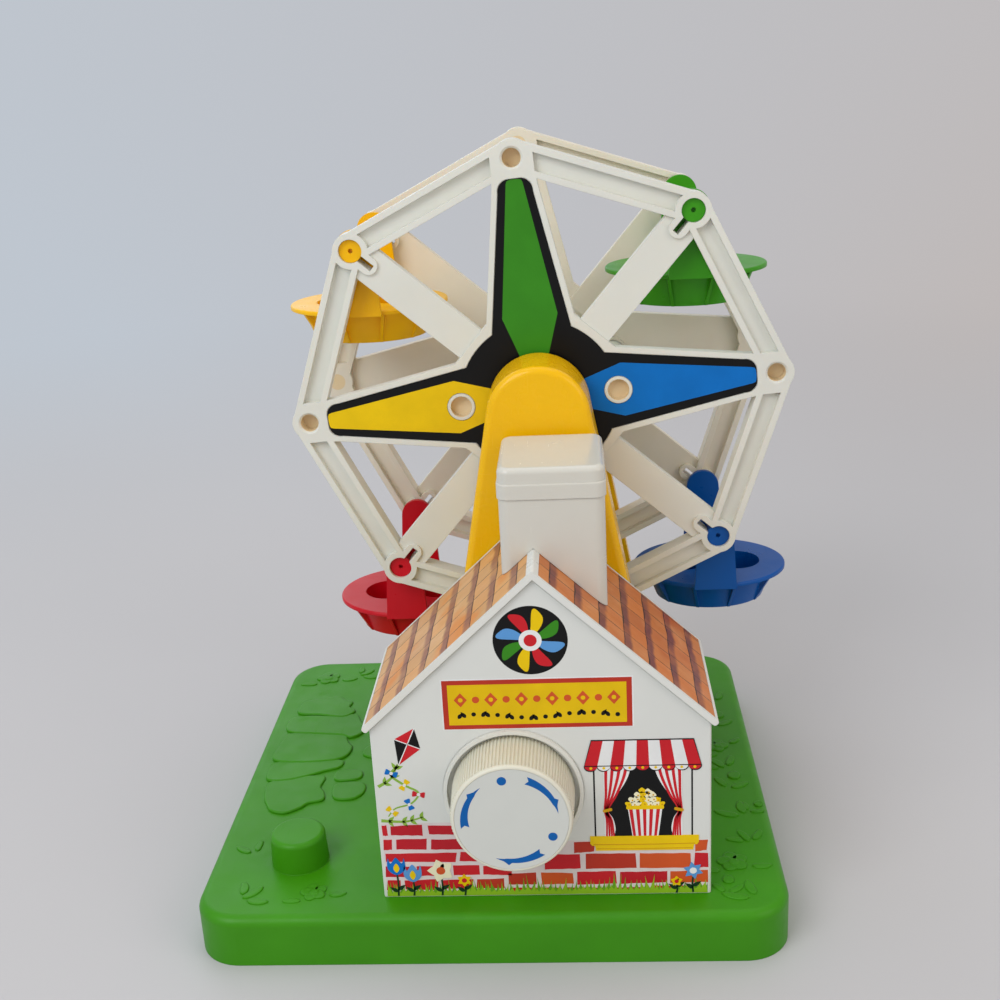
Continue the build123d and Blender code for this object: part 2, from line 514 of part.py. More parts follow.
# the fluted wall widens a little towards the house
knob = loft([front(KNOB_X, KNOB_Y0 + 1.6, KNOB_Z) * flutes(KNOB_R),
             front(KNOB_X, KNOB_Y1, KNOB_Z) * flutes(KNOB_R1)], ruled=True)
face = rod(KNOB_R - 0.3, KNOB_X, KNOB_Z, KNOB_Y0, KNOB_Y0 + 1.7)
face = fillet(face.faces().sort_by(Axis.Y)[0].edges(), 1.2)
knob += face
knob -= rod(21.6, KNOB_X, KNOB_Z, KNOB_Y0 + 3.0, KNOB_Y1 + 1)
knob += rod(5.0, KNOB_X, KNOB_Z, KNOB_Y0 + 2.5, KNOB_Y1)
for a in range(0, 360, 60):
    web = Rot(0, 0, a) * (Pos(13, 0) * Rectangle(18, 1.4))
    knob += slab(web, KNOB_Y0 + 2.5, KNOB_Y1 - 6, KNOB_X, KNOB_Z)
knob -= rod(2.02, KNOB_X, KNOB_Z, KNOB_Y0 + 4.0, KNOB_Y1 + 1)
knob -= rod(23.2, KNOB_X, KNOB_Z, KNOB_Y0 - 1, KNOB_Y0 + 0.3)
parts["winding_knob"] = knob
parts["knob_face_label"] = rod(23.05, KNOB_X, KNOB_Z, KNOB_Y0 + 0.05, KNOB_Y0 + 0.3)

shaft = rod(2.0, KNOB_X, KNOB_Z, KNOB_Y0 + 4.2, -60.0)
shaft += rod(4.0, KNOB_X, KNOB_Z, -82.0, -68.2)
parts["winding_shaft"] = shaft
coil = sweep(Plane(origin=(2.75, 0, 0), x_dir=(1, 0, 0), z_dir=(0, 1, 0)) * Circle(0.32),
             path=Helix(pitch=0.85, height=4.25, radius=2.75))
coil = Rot(90, 0, 0) * coil
cb = coil.bounding_box()
parts["one_way_clutch_spring"] = Pos(KNOB_X, -91.6 - cb.max.Y, KNOB_Z) * coil

# ----------------------------------------------------------- movement
FP0, FP1, BP0, BP1 = -90.0, -88.0, -46.0, -44.0
CYL_X, CYL_Z = KNOB_X + M_BIG * (BARREL_T + CYL_T) / 2, KNOB_Z
da = 60.0
dx, dz = polar(M_MID * (CYLG_T + IDL_P) / 2, da)
IDL_X, IDL_Z = CYL_X + dx, CYL_Z + dz
db = 20.0
dx, dz = polar(M_FINE * (IDL_G + FLY_P) / 2, db)
FLY_X, FLY_Z = IDL_X + dx, IDL_Z + dz


def plate(y0, y1):
    sk = Pos(25.0, 73.5) * RectangleRounded(94.0, 64.0, 5.0)
    return slab(sk, y0, y1)


PILLARS = [(-8.0, 48.0), (58.0, 48.0), (58.0, 99.0), (-8.0, 99.0)]
fplate, bplate = plate(FP0, FP1), plate(BP0, BP1)
fplate -= rod(2.06, KNOB_X, KNOB_Z, FP0 - 1, FP1 + 1)
bplate -= rod(LOW_HUB_R + 0.06, KNOB_X, KNOB_Z, BP0 - 1, BP1 + 1)
for hx, hz, hr in ((CYL_X, CYL_Z, 1.06), (IDL_X, IDL_Z, 0.86), (FLY_X, FLY_Z, 0.66)):
    fplate -= rod(hr, hx, hz, FP0 - 1, FP1 + 1)
    bplate -= rod(hr, hx, hz, BP0 - 1, BP1 + 1)
posts = []
for px, pz in PILLARS:
    fplate -= rod(1.25, px, pz, FP0 - 1, FP1 + 1)
    bplate -= rod(1.25, px, pz, BP0 - 1, BP1 + 1)
    posts.append(rod(2.4, px, pz, FP1, BP0) + rod(1.2, px, pz, FP0, BP1))
mscrews = []
for px, pz in MOUNTS_M:
    fplate -= rod(1.4, px, pz, FP0 - 1, FP1 + 1)
    mscrews.append(rod(1.25, px, pz, -97.5, FP1 + 0.05) + rod(2.5, px, pz, FP1, FP1 + 1.8))
    bplate -= rod(3.4, px, pz, BP0 - 1, BP1 + 1)
parts["movement_front_plate"] = fplate
parts["movement_back_plate"] = bplate
parts["movement_pillars"] = group(posts)
parts["movement_screws"] = group(mscrews)

# spring barrel: gear, drum and its cover with the long drive hub
B_PHASE = 0.0
barrel = slab(gear_outline(BARREL_T, M_BIG, B_PHASE), -86.5, -82.5, KNOB_X, KNOB_Z)
barrel += rod(16.0, KNOB_X, KNOB_Z, -86.5, -64.0)
barrel -= rod(14.6, KNOB_X, KNOB_Z, -84.5, -63.0)
barrel -= rod(2.06, KNOB_X, KNOB_Z, -88.0, -80.0)
parts["spring_barrel"] = barrel
cover = rod(14.55, KNOB_X, KNOB_Z, -66.0, -64.0) + rod(LOW_HUB_R, KNOB_X, KNOB_Z, -64.5, -14.5)
cover -= rod(2.06, KNOB_X, KNOB_Z, -67.0, -59.0)
parts["barrel_cover_hub"] = cover

# mainspring: a flat strip wound in a spiral
turns, steps = 6.5, 24
n = int(turns * steps)
strip = []
for i in range(n + 1):
    t = i / n
    strip.append((4.5 + (14.3 - 0.5 - 4.5) * t, 360.0 * turns * t))
pts = [polar(r, a) for r, a in strip] + [polar(r + 0.5, a) for r, a in reversed(strip)]
parts["mainspring"] = slab(poly(pts), -80.5, -69.5, KNOB_X, KNOB_Z)

# cylinder with its arbor, driven pinion and driving gear
c_phase = 180.0 + 180.0 / CYL_T
cyl = rod(1.0, CYL_X, CYL_Z, FP0, BP1)
cyl += slab(gear_outline(CYL_T, M_BIG, c_phase), -86.5, -82.5, CYL_X, CYL_Z)
cyl += rod(6.5, CYL_X, CYL_Z, -80.0, -55.0)
CG_PHASE = 0.0
cyl += slab(gear_outline(CYLG_T, M_MID, CG_PHASE), -53.0, -51.0, CYL_X, CYL_Z)
cyl += rod(2.6, CYL_X, CYL_Z, -83.0, -50.6)
PITCH, TEETH = 1.45, 16
tune = [0, 5, 9, 2, 12, 7, 3, 10, 14, 6, 1, 8, 11, 4, 13, 15, 9, 5, 2, 7, 12, 0, 10, 6, 3, 14, 8, 1]
for i, t in enumerate(tune):
    a = 360.0 * (i + 0.5) / len(tune)
    px, pz = polar(1.0, a)
    pin = Plane(origin=(CYL_X + 6.0 * px, -78.4 + PITCH * t, CYL_Z + 6.0 * pz), z_dir=(px, 0, pz)) * \
        extrude(Circle(0.3), amount=1.2)
    cyl += pin
parts["pinned_cylinder"] = cyl

# idler arbor: a tooth gap of its pinion faces the cylinder gear
def mesh_phase(teeth_a, phase_a, beta, teeth_b):
    """Phase of gear b so that its gap takes the tooth of gear a along beta."""
    pa = 360.0 / teeth_a
    off = (beta - phase_a) / pa          # teeth of a from its phase to beta
    frac = off - round(off)              # part of a pitch past a tooth centre
    pb = 360.0 / teeth_b
    return beta + 180.0 + pb / 2 + frac * pb


i_phase = mesh_phase(CYLG_T, CG_PHASE, da, IDL_P)
IG_PHASE = 0.0
idl = rod(0.8, IDL_X, IDL_Z, FP0, BP1)
idl += slab(gear_outline(IDL_P, M_MID, i_phase), -53.4, -50.6, IDL_X, IDL_Z)
idl += slab(gear_outline(IDL_G, M_FINE, IG_PHASE), -49.6, -48.2, IDL_X, IDL_Z)
idl += rod(1.6, IDL_X, IDL_Z, -51.0, -49.0)
parts["governor_idler"] = idl
f_phase = mesh_phase(IDL_G, IG_PHASE, db, FLY_P)
fly = rod(0.6, FLY_X, FLY_Z, FP0, BP1)
fly += slab(gear_outline(FLY_P, M_FINE, f_phase), -50.0, -47.8, FLY_X, FLY_Z)
fly += rod(1.6, FLY_X, FLY_Z, -76.0, -58.0)
fly += box(FLY_X - 6.0, FLY_X + 6.0, -75.5, -58.5, FLY_Z - 0.4, FLY_Z + 0.4)
parts["air_brake_fly"] = fly

# comb: steel teeth whose tips stop just short of the passing pins
COMB_TIP = CYL_X + 7.2 + 0.45
COMB_ZT = CYL_Z - 3.0
tip_y0 = -78.4 - PITCH / 2
comb = box(COMB_TIP + 11.0, COMB_TIP + 17.0, tip_y0 - 0.6, tip_y0 + PITCH * TEETH + 0.6, COMB_ZT, COMB_ZT + 1.4)
for t in range(TEETH):
    y = -78.4 + PITCH * t
    comb += box(COMB_TIP, COMB_TIP + 11.5, y - 0.5, y + 0.5, COMB_ZT + 0.4, COMB_ZT + 1.2)
bracket = box(COMB_TIP + 10.0, COMB_TIP + 17.5, FP1, BP0, COMB_ZT - 3.0, COMB_ZT)
cscrews = []
for y in (tip_y0 + 4.0, tip_y0 + PITCH * TEETH - 4.0):
    x = COMB_TIP + 14.0
    comb -= pillar(1.15, x, y, COMB_ZT - 1, COMB_ZT + 3)
    bracket -= pillar(1.05, x, y, COMB_ZT - 4, COMB_ZT + 1)
    cscrews.append(pillar(1.0, x, y, COMB_ZT - 2.8, COMB_ZT + 1.5) + pillar(2.0, x, y, COMB_ZT + 1.4, COMB_ZT + 2.6))
parts["comb"] = comb
parts["comb_bracket"] = bracket
parts["comb_screws"] = group(cscrews)


# ------------------------------------------------------- pulleys and belt
def pulley(x, z, groove_r, bore, y0, y1):
    p = rod(groove_r + 2.6, x, z, y0, y1)
    mid = (y0 + y1) / 2
    p -= tube(groove_r + 5, groove_r, x, z, mid - 1.9, mid + 1.9)
    p += rod(bore + 2.5, x, z, y0 - 0.0, y1 + 1.5)
    p -= rod(bore, x, z, y0 - 1, y1 + 3)
    return p


LOW_R, UP_R, BELT_T = 8.6, 13.2, 1.8
GAP = 0.3
parts["lower_pulley"] = pulley(KNOB_X, KNOB_Z, LOW_R, LOW_HUB_R + 0.02, -24.0, -16.0)
parts["upper_pulley"] = pulley(AXLE_X, AXLE_Z, UP_R, AXLE_R + 0.02, -24.0, -16.0)


def belt_outline(t):
    """Tangent loop round both pulleys, t outside the grooves."""
    dx, dz = AXLE_X - KNOB_X, AXLE_Z - KNOB_Z
    d = math.hypot(dx, dz)
    u = math.atan2(dz, dx)
    r0, r1 = LOW_R + t, UP_R + t
    b = math.acos((r0 - r1) / d)
    def at(cx, cz, r, a):
        return (cx + r * math.cos(a), cz + r * math.sin(a))
    l0, l1 = at(KNOB_X, KNOB_Z, r0, u + b), at(KNOB_X, KNOB_Z, r0, u - b)
    h0, h1 = at(AXLE_X, AXLE_Z, r1, u + b), at(AXLE_X, AXLE_Z, r1, u - b)
    return make_face(Line(l0, h0) + ThreePointArc(h0, at(AXLE_X, AXLE_Z, r1, u), h1)
                     + Line(h1, l1) + ThreePointArc(l1, at(KNOB_X, KNOB_Z, r0, u + math.pi), l0))


belt = slab(belt_outline(GAP + BELT_T) - belt_outline(GAP), -21.0, -19.0)
parts["drive_belt"] = belt

# -------------------------------------------------------------- write out
os.makedirs("parts", exist_ok=True)
for old in os.listdir("parts"):
    if old.endswith(".step"):
        os.remove(os.path.join("parts", old))
for name, shape in parts.items():
    export_step(shape, os.path.join("parts", name + ".step"))
print(len(parts), "nodes; wheel vertices:", [tuple(round(c, 2) for c in vertex(k)) for k in range(8)])
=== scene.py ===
import bpy
import bmesh
import math
import random
from mathutils import Matrix, Vector
from mathutils.geometry import tessellate_polygon


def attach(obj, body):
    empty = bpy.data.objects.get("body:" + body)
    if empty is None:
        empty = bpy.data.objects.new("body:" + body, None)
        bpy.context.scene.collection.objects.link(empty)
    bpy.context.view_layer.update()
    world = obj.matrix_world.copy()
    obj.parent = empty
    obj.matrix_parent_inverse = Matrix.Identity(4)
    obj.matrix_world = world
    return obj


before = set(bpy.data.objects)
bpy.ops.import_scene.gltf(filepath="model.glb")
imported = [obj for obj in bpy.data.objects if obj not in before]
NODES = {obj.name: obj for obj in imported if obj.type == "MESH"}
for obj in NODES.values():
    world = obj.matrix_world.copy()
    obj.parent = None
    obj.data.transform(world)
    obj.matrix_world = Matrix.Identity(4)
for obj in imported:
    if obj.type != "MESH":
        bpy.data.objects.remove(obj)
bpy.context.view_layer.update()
MM = 0.001

# ------------------------------------------------------------- dimensions, mm
BASE_W, BASE_D, BASE_TOP = 255.8, 245.8, 23.4
HOUSE_X0, HOUSE_X1, FRONT_Y = -45.8, 94.2, -108.45
RIDGE_X, RIDGE_Z, EAVE_HALF, EAVE_Z = 24.2, 173.9, 73.15, 106.0
SLOPE = (RIDGE_Z - EAVE_Z) / EAVE_HALF
SL_COS = 1 / math.sqrt(1 + SLOPE * SLOPE)
SL_SIN = SLOPE * SL_COS
KNOB_X, KNOB_Z, KNOB_FACE_Y = 12.4, 74.3, -129.25
AXLE_X, AXLE_Z, TILT = 26.8, 214.4, 4.25
LABEL_F, LABEL_R = -0.7, 86.7           # printed faces of the wheel sheets
PEG = (-88.0, -78.9)


def srgb(r, g, b):
    def f(c):
        c = c / 255
        return c / 12.92 if c <= 0.04045 else ((c + 0.055) / 1.055) ** 2.4
    return (f(r), f(g), f(b), 1.0)


# ----------------------------------------------------------------- materials
class Tree:
    """Small helper that wires shader nodes."""

    def __init__(self, name):
        self.mat = bpy.data.materials.new(name)
        self.mat.use_nodes = True
        self.nt = self.mat.node_tree
        self.nt.nodes.clear()
        self.out = self.nt.nodes.new("ShaderNodeOutputMaterial")
        self.bsdf = self.nt.nodes.new("ShaderNodeBsdfPrincipled")
        self.nt.links.new(self.bsdf.outputs[0], self.out.inputs[0])
        self.coord = self.nt.nodes.new("ShaderNodeTexCoord").outputs["Object"]

    def node(self, kind, **props):
        n = self.nt.nodes.new(kind)
        for k, v in props.items():
            setattr(n, k, v)
        return n

    def link(self, a, b):
        self.nt.links.new(a, b)

    def put(self, socket, value):
        if hasattr(value, "is_linked") or hasattr(value, "links"):
            self.nt.links.new(value, socket)
        else:
            socket.default_value = value

    def noise(self, scale, detail=3.0, rough=0.5, vector=None, distortion=0.0):
        n = self.node("ShaderNodeTexNoise")
        self.link(vector or self.coord, n.inputs["Vector"])
        n.inputs["Scale"].default_value = scale
        n.inputs["Detail"].default_value = detail
        n.inputs["Roughness"].default_value = rough
        n.inputs["Distortion"].default_value = distortion
        return n.outputs["Fac"]

    def math(self, op, a, b=None, c=None, clamp=False):
        n = self.node("ShaderNodeMath", operation=op, use_clamp=clamp)
        self.put(n.inputs[0], a)
        if b is not None:
            self.put(n.inputs[1], b)
        if c is not None:
            self.put(n.inputs[2], c)
        return n.outputs[0]

    def span(self, value, lo, hi, to_lo=0.0, to_hi=1.0, smooth=False):
        n = self.node("ShaderNodeMapRange", clamp=True)
        n.interpolation_type = "SMOOTHSTEP" if smooth else "LINEAR"
        self.put(n.inputs["Value"], value)
        self.put(n.inputs["From Min"], lo)
        self.put(n.inputs["From Max"], hi)
        self.put(n.inputs["To Min"], to_lo)
        self.put(n.inputs["To Max"], to_hi)
        return n.outputs["Result"]

    def mix(self, fac, a, b, blend="MIX"):
        n = self.node("ShaderNodeMix", data_type="RGBA", blend_type=blend)
        self.put(n.inputs["Factor"], fac)
        self.put(n.inputs["A"] if False else n.inputs[6], a)
        self.put(n.inputs[7], b)
        return n.outputs[2]

    def stretch(self, sx, sy, sz, rot=(0, 0, 0)):
        n = self.node("ShaderNodeMapping")
        self.link(self.coord, n.inputs["Vector"])
        n.inputs["Scale"].default_value = (sx, sy, sz)
        n.inputs["Rotation"].default_value = rot
        return n.outputs[0]


def shade(c, f):
    return (min(1, c[0] * f), min(1, c[1] * f), min(1, c[2] * f), 1.0)


def plastic(name, color, rough=0.32, var=0.10, dust=0.0, dust_color=None, bump=0.10,
            edge=0.35, sss=0.0, coat=0.0, scuff=0.5, spec=0.5, yellow=0.0, painted_hole_tint=False):
    """Moulded plastic: mottled colour, faint flow lines, rubbed spots, fine scratches and softened edges; on request a
    painted light tint inside the round holes.
    """
    t = Tree(name)
    big = t.noise(26, 3, 0.55)
    mid = t.noise(160, 4, 0.6)
    col = t.mix(t.span(big, 0.35, 0.68), shade(color, 1 - var), shade(color, 1 + var * 0.6))
    col = t.mix(t.span(mid, 0.42, 0.75, 0.0, 0.35), col, shade(color, 1 - var * 0.9))
    if yellow:
        old = t.noise(14, 2, 0.5)
        col = t.mix(t.span(old, 0.40, 0.70, 0.0, yellow), col, (color[0] * 0.96, color[1] * 0.86, color[2] * 0.62, 1))
    if painted_hole_tint:
        # painted light: the inside of the round holes is painted a warm tint that stands in for light coming through
        # the plastic
        sep = t.node("ShaderNodeSeparateXYZ")
        t.link(t.coord, sep.inputs[0])
        px = t.math("SUBTRACT", t.math("MULTIPLY", sep.outputs[0], 1000.0), AXLE_X)
        pz = t.math("SUBTRACT", t.math("MULTIPLY", sep.outputs[2], 1000.0), AXLE_Z)
        c, s = math.cos(math.radians(TILT)), math.sin(math.radians(TILT))
        qx = t.math("ABSOLUTE", t.math("ADD", t.math("MULTIPLY", px, c), t.math("MULTIPLY", pz, s)))
        qz = t.math("ABSOLUTE", t.math("SUBTRACT", t.math("MULTIPLY", pz, c), t.math("MULTIPLY", px, s)))
        far, near = t.math("MAXIMUM", qx, qz), t.math("MINIMUM", qx, qz)
        mask = None
        for radius, size in ((107.7, 4.16), (36.2, 4.95)):
            off = t.math("SUBTRACT", far, radius)
            d = t.math("SQRT", t.math("ADD", t.math("MULTIPLY", off, off), t.math("MULTIPLY", near, near)))
            m = t.math("LESS_THAN", d, size)
            mask = m if mask is None else t.math("MAXIMUM", mask, m)
        col = t.mix(t.math("MULTIPLY", mask, 0.75), col, srgb(232, 204, 152))
    if dust:
        # dust and grime gather in patches and on faces that look upwards
        sep = t.node("ShaderNodeSeparateXYZ")
        t.link(t.node("ShaderNodeNewGeometry").outputs["Normal"], sep.inputs[0])
        upw = t.span(sep.outputs[2], 0.2, 1.0)
        patch = t.span(t.noise(55, 5, 0.65), 0.45, 0.72)
        col = t.mix(t.math("MULTIPLY", t.math("MULTIPLY", upw, patch), dust), col, dust_color or srgb(190, 185, 165))
    # hair scratches in two directions
    s1 = t.span(t.noise(1.0, 2, 0.5, t.stretch(900, 60, 60, (0.3, 0.2, 0.5))), 0.66, 0.72)
    s2 = t.span(t.noise(1.0, 2, 0.5, t.stretch(70, 70, 1100, (0.5, 0.9, 0.2))), 0.67, 0.73)
    hair = t.math("MAXIMUM", s1, s2)
    rub = t.span(t.noise(42, 4, 0.6, distortion=0.6), 0.52, 0.75)
    r = t.span(t.noise(110, 3), 0.3, 0.7, rough - 0.05, rough + 0.06)
    r = t.math("ADD", r, t.math("MULTIPLY", t.math("ADD", t.math("MULTIPLY", rub, 0.12), t.math("MULTIPLY", hair, 0.14)), scuff), clamp=True)
    t.link(col, t.bsdf.inputs["Base Color"])
    t.link(r, t.bsdf.inputs["Roughness"])
    t.bsdf.inputs["Specular IOR Level"].default_value = spec
    t.bsdf.inputs["IOR"].default_value = 1.49
    if sss:
        t.bsdf.inputs["Subsurface Weight"].default_value = sss
        t.bsdf.inputs["Subsurface Radius"].default_value = (1.0, 0.7, 0.45)
        t.bsdf.inputs["Subsurface Scale"].default_value = 0.0022
    if coat:
        t.bsdf.inputs["Coat Weight"].default_value = coat
        t.bsdf.inputs["Coat Roughness"].default_value = 0.12
    # sink waves, fine grain and scratches
    h = t.math("ADD", t.math("MULTIPLY", t.noise(60, 2), 0.5), t.math("MULTIPLY", t.noise(1400, 2), 0.18))
    h = t.math("SUBTRACT", h, t.math("MULTIPLY", hair, 0.10))
    b = t.node("ShaderNodeBump")
    b.inputs["Strength"].default_value = bump
    b.inputs["Distance"].default_value = 0.0006
    t.link(h, b.inputs["Height"])
    if edge:
        bv = t.node("ShaderNodeBevel", samples=4)
        bv.inputs["Radius"].default_value = edge * MM
        t.link(bv.outputs[0], b.inputs["Normal"])
    t.link(b.outputs[0], t.bsdf.inputs["Normal"])
    return t.mat


def ink(name, color, rough=0.34, var=0.06, wear=0.5):
    """Printed colour on a glossy sheet: fine halftone grain, rubbed flecks, faint waves."""
    t = Tree(name)
    grain = t.noise(2200, 2, 0.6)
    soft = t.noise(70, 3, 0.5)
    col = t.mix(t.span(soft, 0.35, 0.7), shade(color, 1 - var), shade(color, 1 + var))
    col = t.mix(t.span(grain, 0.35, 0.75, 0.0, 0.30), col, shade(color, 1 - var * 1.6))
    fleck = t.span(t.noise(420, 4, 0.7), 0.765, 0.79)
    col = t.mix(t.math("MULTIPLY", fleck, wear), col, srgb(205, 205, 200))
    t.link(col, t.bsdf.inputs["Base Color"])
    t.link(t.span(soft, 0.3, 0.7, rough - 0.05, rough + 0.07), t.bsdf.inputs["Roughness"])
    t.bsdf.inputs["Specular IOR Level"].default_value = 0.22
    b = t.node("ShaderNodeBump")
    b.inputs["Strength"].default_value = 0.06
    b.inputs["Distance"].default_value = 0.0004
    t.link(t.noise(90, 2), b.inputs["Height"])
    t.link(b.outputs[0], t.bsdf.inputs["Normal"])
    return t.mat


def metal(name, color, rough=0.28, brushed=(30, 900, 30), aniso=0.0):
    t = Tree(name)
    line = t.noise(1.0, 3, 0.6, t.stretch(*brushed))
    col = t.mix(t.span(line, 0.3, 0.7), shade(color, 0.86), shade(color, 1.06))
    spot = t.span(t.noise(300, 4, 0.65), 0.58, 0.72, 0.0, 0.5)
    col = t.mix(spot, col, shade(color, 0.62))
    t.link(col, t.bsdf.inputs["Base Color"])
    t.bsdf.inputs["Metallic"].default_value = 1.0
    t.link(t.span(line, 0.3, 0.7, rough - 0.07, rough + 0.12), t.bsdf.inputs["Roughness"])
    b = t.node("ShaderNodeBump")
    b.inputs["Strength"].default_value = 0.12
    b.inputs["Distance"].default_value = 0.0002
    t.link(line, b.inputs["Height"])
    t.link(b.outputs[0], t.bsdf.inputs["Normal"])
    return t.mat


def rubber(name, color):
    t = Tree(name)
    n = t.noise(700, 4, 0.6)
    col = t.mix(t.span(n, 0.3, 0.7), shade(color, 0.75), shade(color, 1.3))
    t.link(col, t.bsdf.inputs["Base Color"])
    t.link(t.span(n, 0.3, 0.7, 0.55, 0.75), t.bsdf.inputs["Roughness"])
    b = t.node("ShaderNodeBump")
    b.inputs["Strength"].default_value = 0.25
    b.inputs["Distance"].default_value = 0.0003
    t.link(n, b.inputs["Height"])
    t.link(b.outputs[0], t.bsdf.inputs["Normal"])
    return t.mat


# board colours: paler and tanner on the left slope, deeper and more orange on the right one; the darker tones of the
# right slope, here and in the four tables below, are painted shade for the slope turned away from the light
ROOF_TONES = {
    -1: [srgb(212, 166, 112), srgb(220, 174, 120), srgb(206, 156, 104), srgb(226, 168, 104), srgb(204, 160, 110)],
    1: [srgb(206, 124, 62), srgb(214, 136, 72), srgb(196, 112, 54), srgb(220, 130, 60), srgb(200, 120, 66)],
}
ROOF_GRAIN = {-1: srgb(196, 136, 80), 1: srgb(184, 100, 48)}
ROOF_WASH = {-1: srgb(230, 186, 138), 1: srgb(222, 158, 106)}
ROOF_SPOT = {-1: srgb(222, 134, 50), 1: srgb(190, 96, 34)}
ROOF_SHADOW = {-1: srgb(150, 100, 80), 1: srgb(118, 64, 62)}


def shingles(name, side):
    """Drawn wooden boards: eight courses along the slope, joints down it, watercolour shading."""
    t = Tree(name)
    sep = t.node("ShaderNodeSeparateXYZ")
    t.link(t.coord, sep.inputs[0])
    x, y, z = (t.math("MULTIPLY", o, 1000.0) for o in sep.outputs[:3])
    # u runs down the slope from the ridge, v runs from the front to the back
    u = t.math("MULTIPLY", t.math("SUBTRACT", x, RIDGE_X), side * SL_COS)
    u = t.math("ADD", u, t.math("MULTIPLY", t.math("SUBTRACT", RIDGE_Z, z), SL_SIN))
    v = t.math("ADD", y, 110.2)
    wob = t.math("MULTIPLY", t.math("SUBTRACT", t.noise(38, 2, 0.5), 0.5), 3.2)
    pitch = 13.3
    cu = t.math("DIVIDE", t.math("ADD", t.math("ADD", u, wob), 4.5), pitch)
    row = t.math("FLOOR", cu)
    fu = t.math("FRACT", cu)
    # joints: five to six thin lines down the slope, a little uneven
    wob2 = t.math("MULTIPLY", t.math("SUBTRACT", t.noise(30, 2, 0.5), 0.5), 2.2)
    cv = t.math("DIVIDE", t.math("ADD", v, wob2), 14.6)
    colm = t.math("FLOOR", cv)
    cv = t.math("ADD", cv, t.math("MULTIPLY", t.math("FRACT", t.math("MULTIPLY", row, 0.5)), 0.16))
    fv = t.math("FRACT", cv)
    comb = t.node("ShaderNodeCombineXYZ")
    t.link(row, comb.inputs[0])
    t.link(colm, comb.inputs[1])
    comb.inputs[2].default_value = 3.0 + side
    wn = t.node("ShaderNodeTexWhiteNoise", noise_dimensions="3D")
    t.link(comb.outputs[0], wn.inputs["Vector"])
    ramp = t.node("ShaderNodeValToRGB")
    t.link(wn.outputs["Value"], ramp.inputs[0])
    e = ramp.color_ramp.elements
    tones = ROOF_TONES[side]
    e[0].color = tones[0]
    e[1].color = tones[4]
    for pos, c in ((0.30, tones[1]), (0.55, tones[2]), (0.80, tones[3])):
        k = e.new(pos)
        k.color = c
    # grain along the boards, and washes of thin paint
    comb2 = t.node("ShaderNodeCombineXYZ")
    t.link(t.math("MULTIPLY", u, 0.055), comb2.inputs[0])
    t.link(t.math("MULTIPLY", v, 0.85), comb2.inputs[1])
    comb2.inputs[2].default_value = side
    grain = t.noise(1.0, 5, 0.62, comb2.outputs[0], 0.4)
    col = t.mix(t.span(grain, 0.35, 0.7, 0.0, 0.40), ramp.outputs[0], ROOF_GRAIN[side])
    wash = t.noise(48, 4, 0.6, distortion=0.8)
    col = t.mix(t.span(wash, 0.50, 0.72, 0.0, 0.50), col, ROOF_WASH[side])
    spots = t.noise(30, 3, 0.5, t.stretch(1, 1, 1, (0.4, 0.1, 0.9)))
    col = t.mix(t.span(spots, 0.58, 0.68, 0.0, 0.75), col, ROOF_SPOT[side])
    # purple-brown shadow under each course with a soft ragged lower edge, and its dark line
    ragged = t.math("ADD", fu, t.math("MULTIPLY", t.math("SUBTRACT", t.noise(150, 4, 0.65), 0.5), 0.22))
    shadow = t.span(ragged, 0.24, 0.37, 0.94, 0.0)
    shadow = t.math("MULTIPLY", shadow, t.span(t.noise(60, 3, 0.55), 0.30, 0.55, 0.50, 1.0))
    col = t.mix(shadow, col, ROOF_SHADOW[side])
    thick = t.span(t.noise(120, 3, 0.6), 0.30, 0.70, 0.015, 0.070)
    line_u = t.math("LESS_THAN", fu, thick)
    line_v = t.math("LESS_THAN", fv, t.span(t.noise(170, 3, 0.6), 0.3, 0.7, 0.022, 0.046))
    line_u = t.math("MULTIPLY", line_u, t.span(t.noise(75, 3, 0.6), 0.34, 0.46, 0.25, 0.95))
    line_v = t.math("MULTIPLY", line_v, t.span(t.noise(190, 3, 0.6), 0.3, 0.5, 0.70, 0.95))
    col = t.mix(t.math("MAXIMUM", line_u, line_v), col, srgb(44, 26, 24))
    t.link(col, t.bsdf.inputs["Base Color"])
    t.link(t.span(t.noise(90, 3), 0.3, 0.7, 0.34, 0.46), t.bsdf.inputs["Roughness"])
    t.bsdf.inputs["Specular IOR Level"].default_value = 0.22
    b = t.node("ShaderNodeBump")
    b.inputs["Strength"].default_value = 0.10
    b.inputs["Distance"].default_value = 0.0003
    t.link(t.noise(110, 2), b.inputs["Height"])
    t.link(b.outputs[0], t.bsdf.inputs["Normal"])
    return t.mat


C_GREEN = srgb(60, 140, 8)
C_WHITE = srgb(224, 224, 217)
C_CREAM = srgb(224, 224, 214)
C_YELLOW = srgb(244, 188, 0)
C_SHEET = srgb(218, 219, 213)

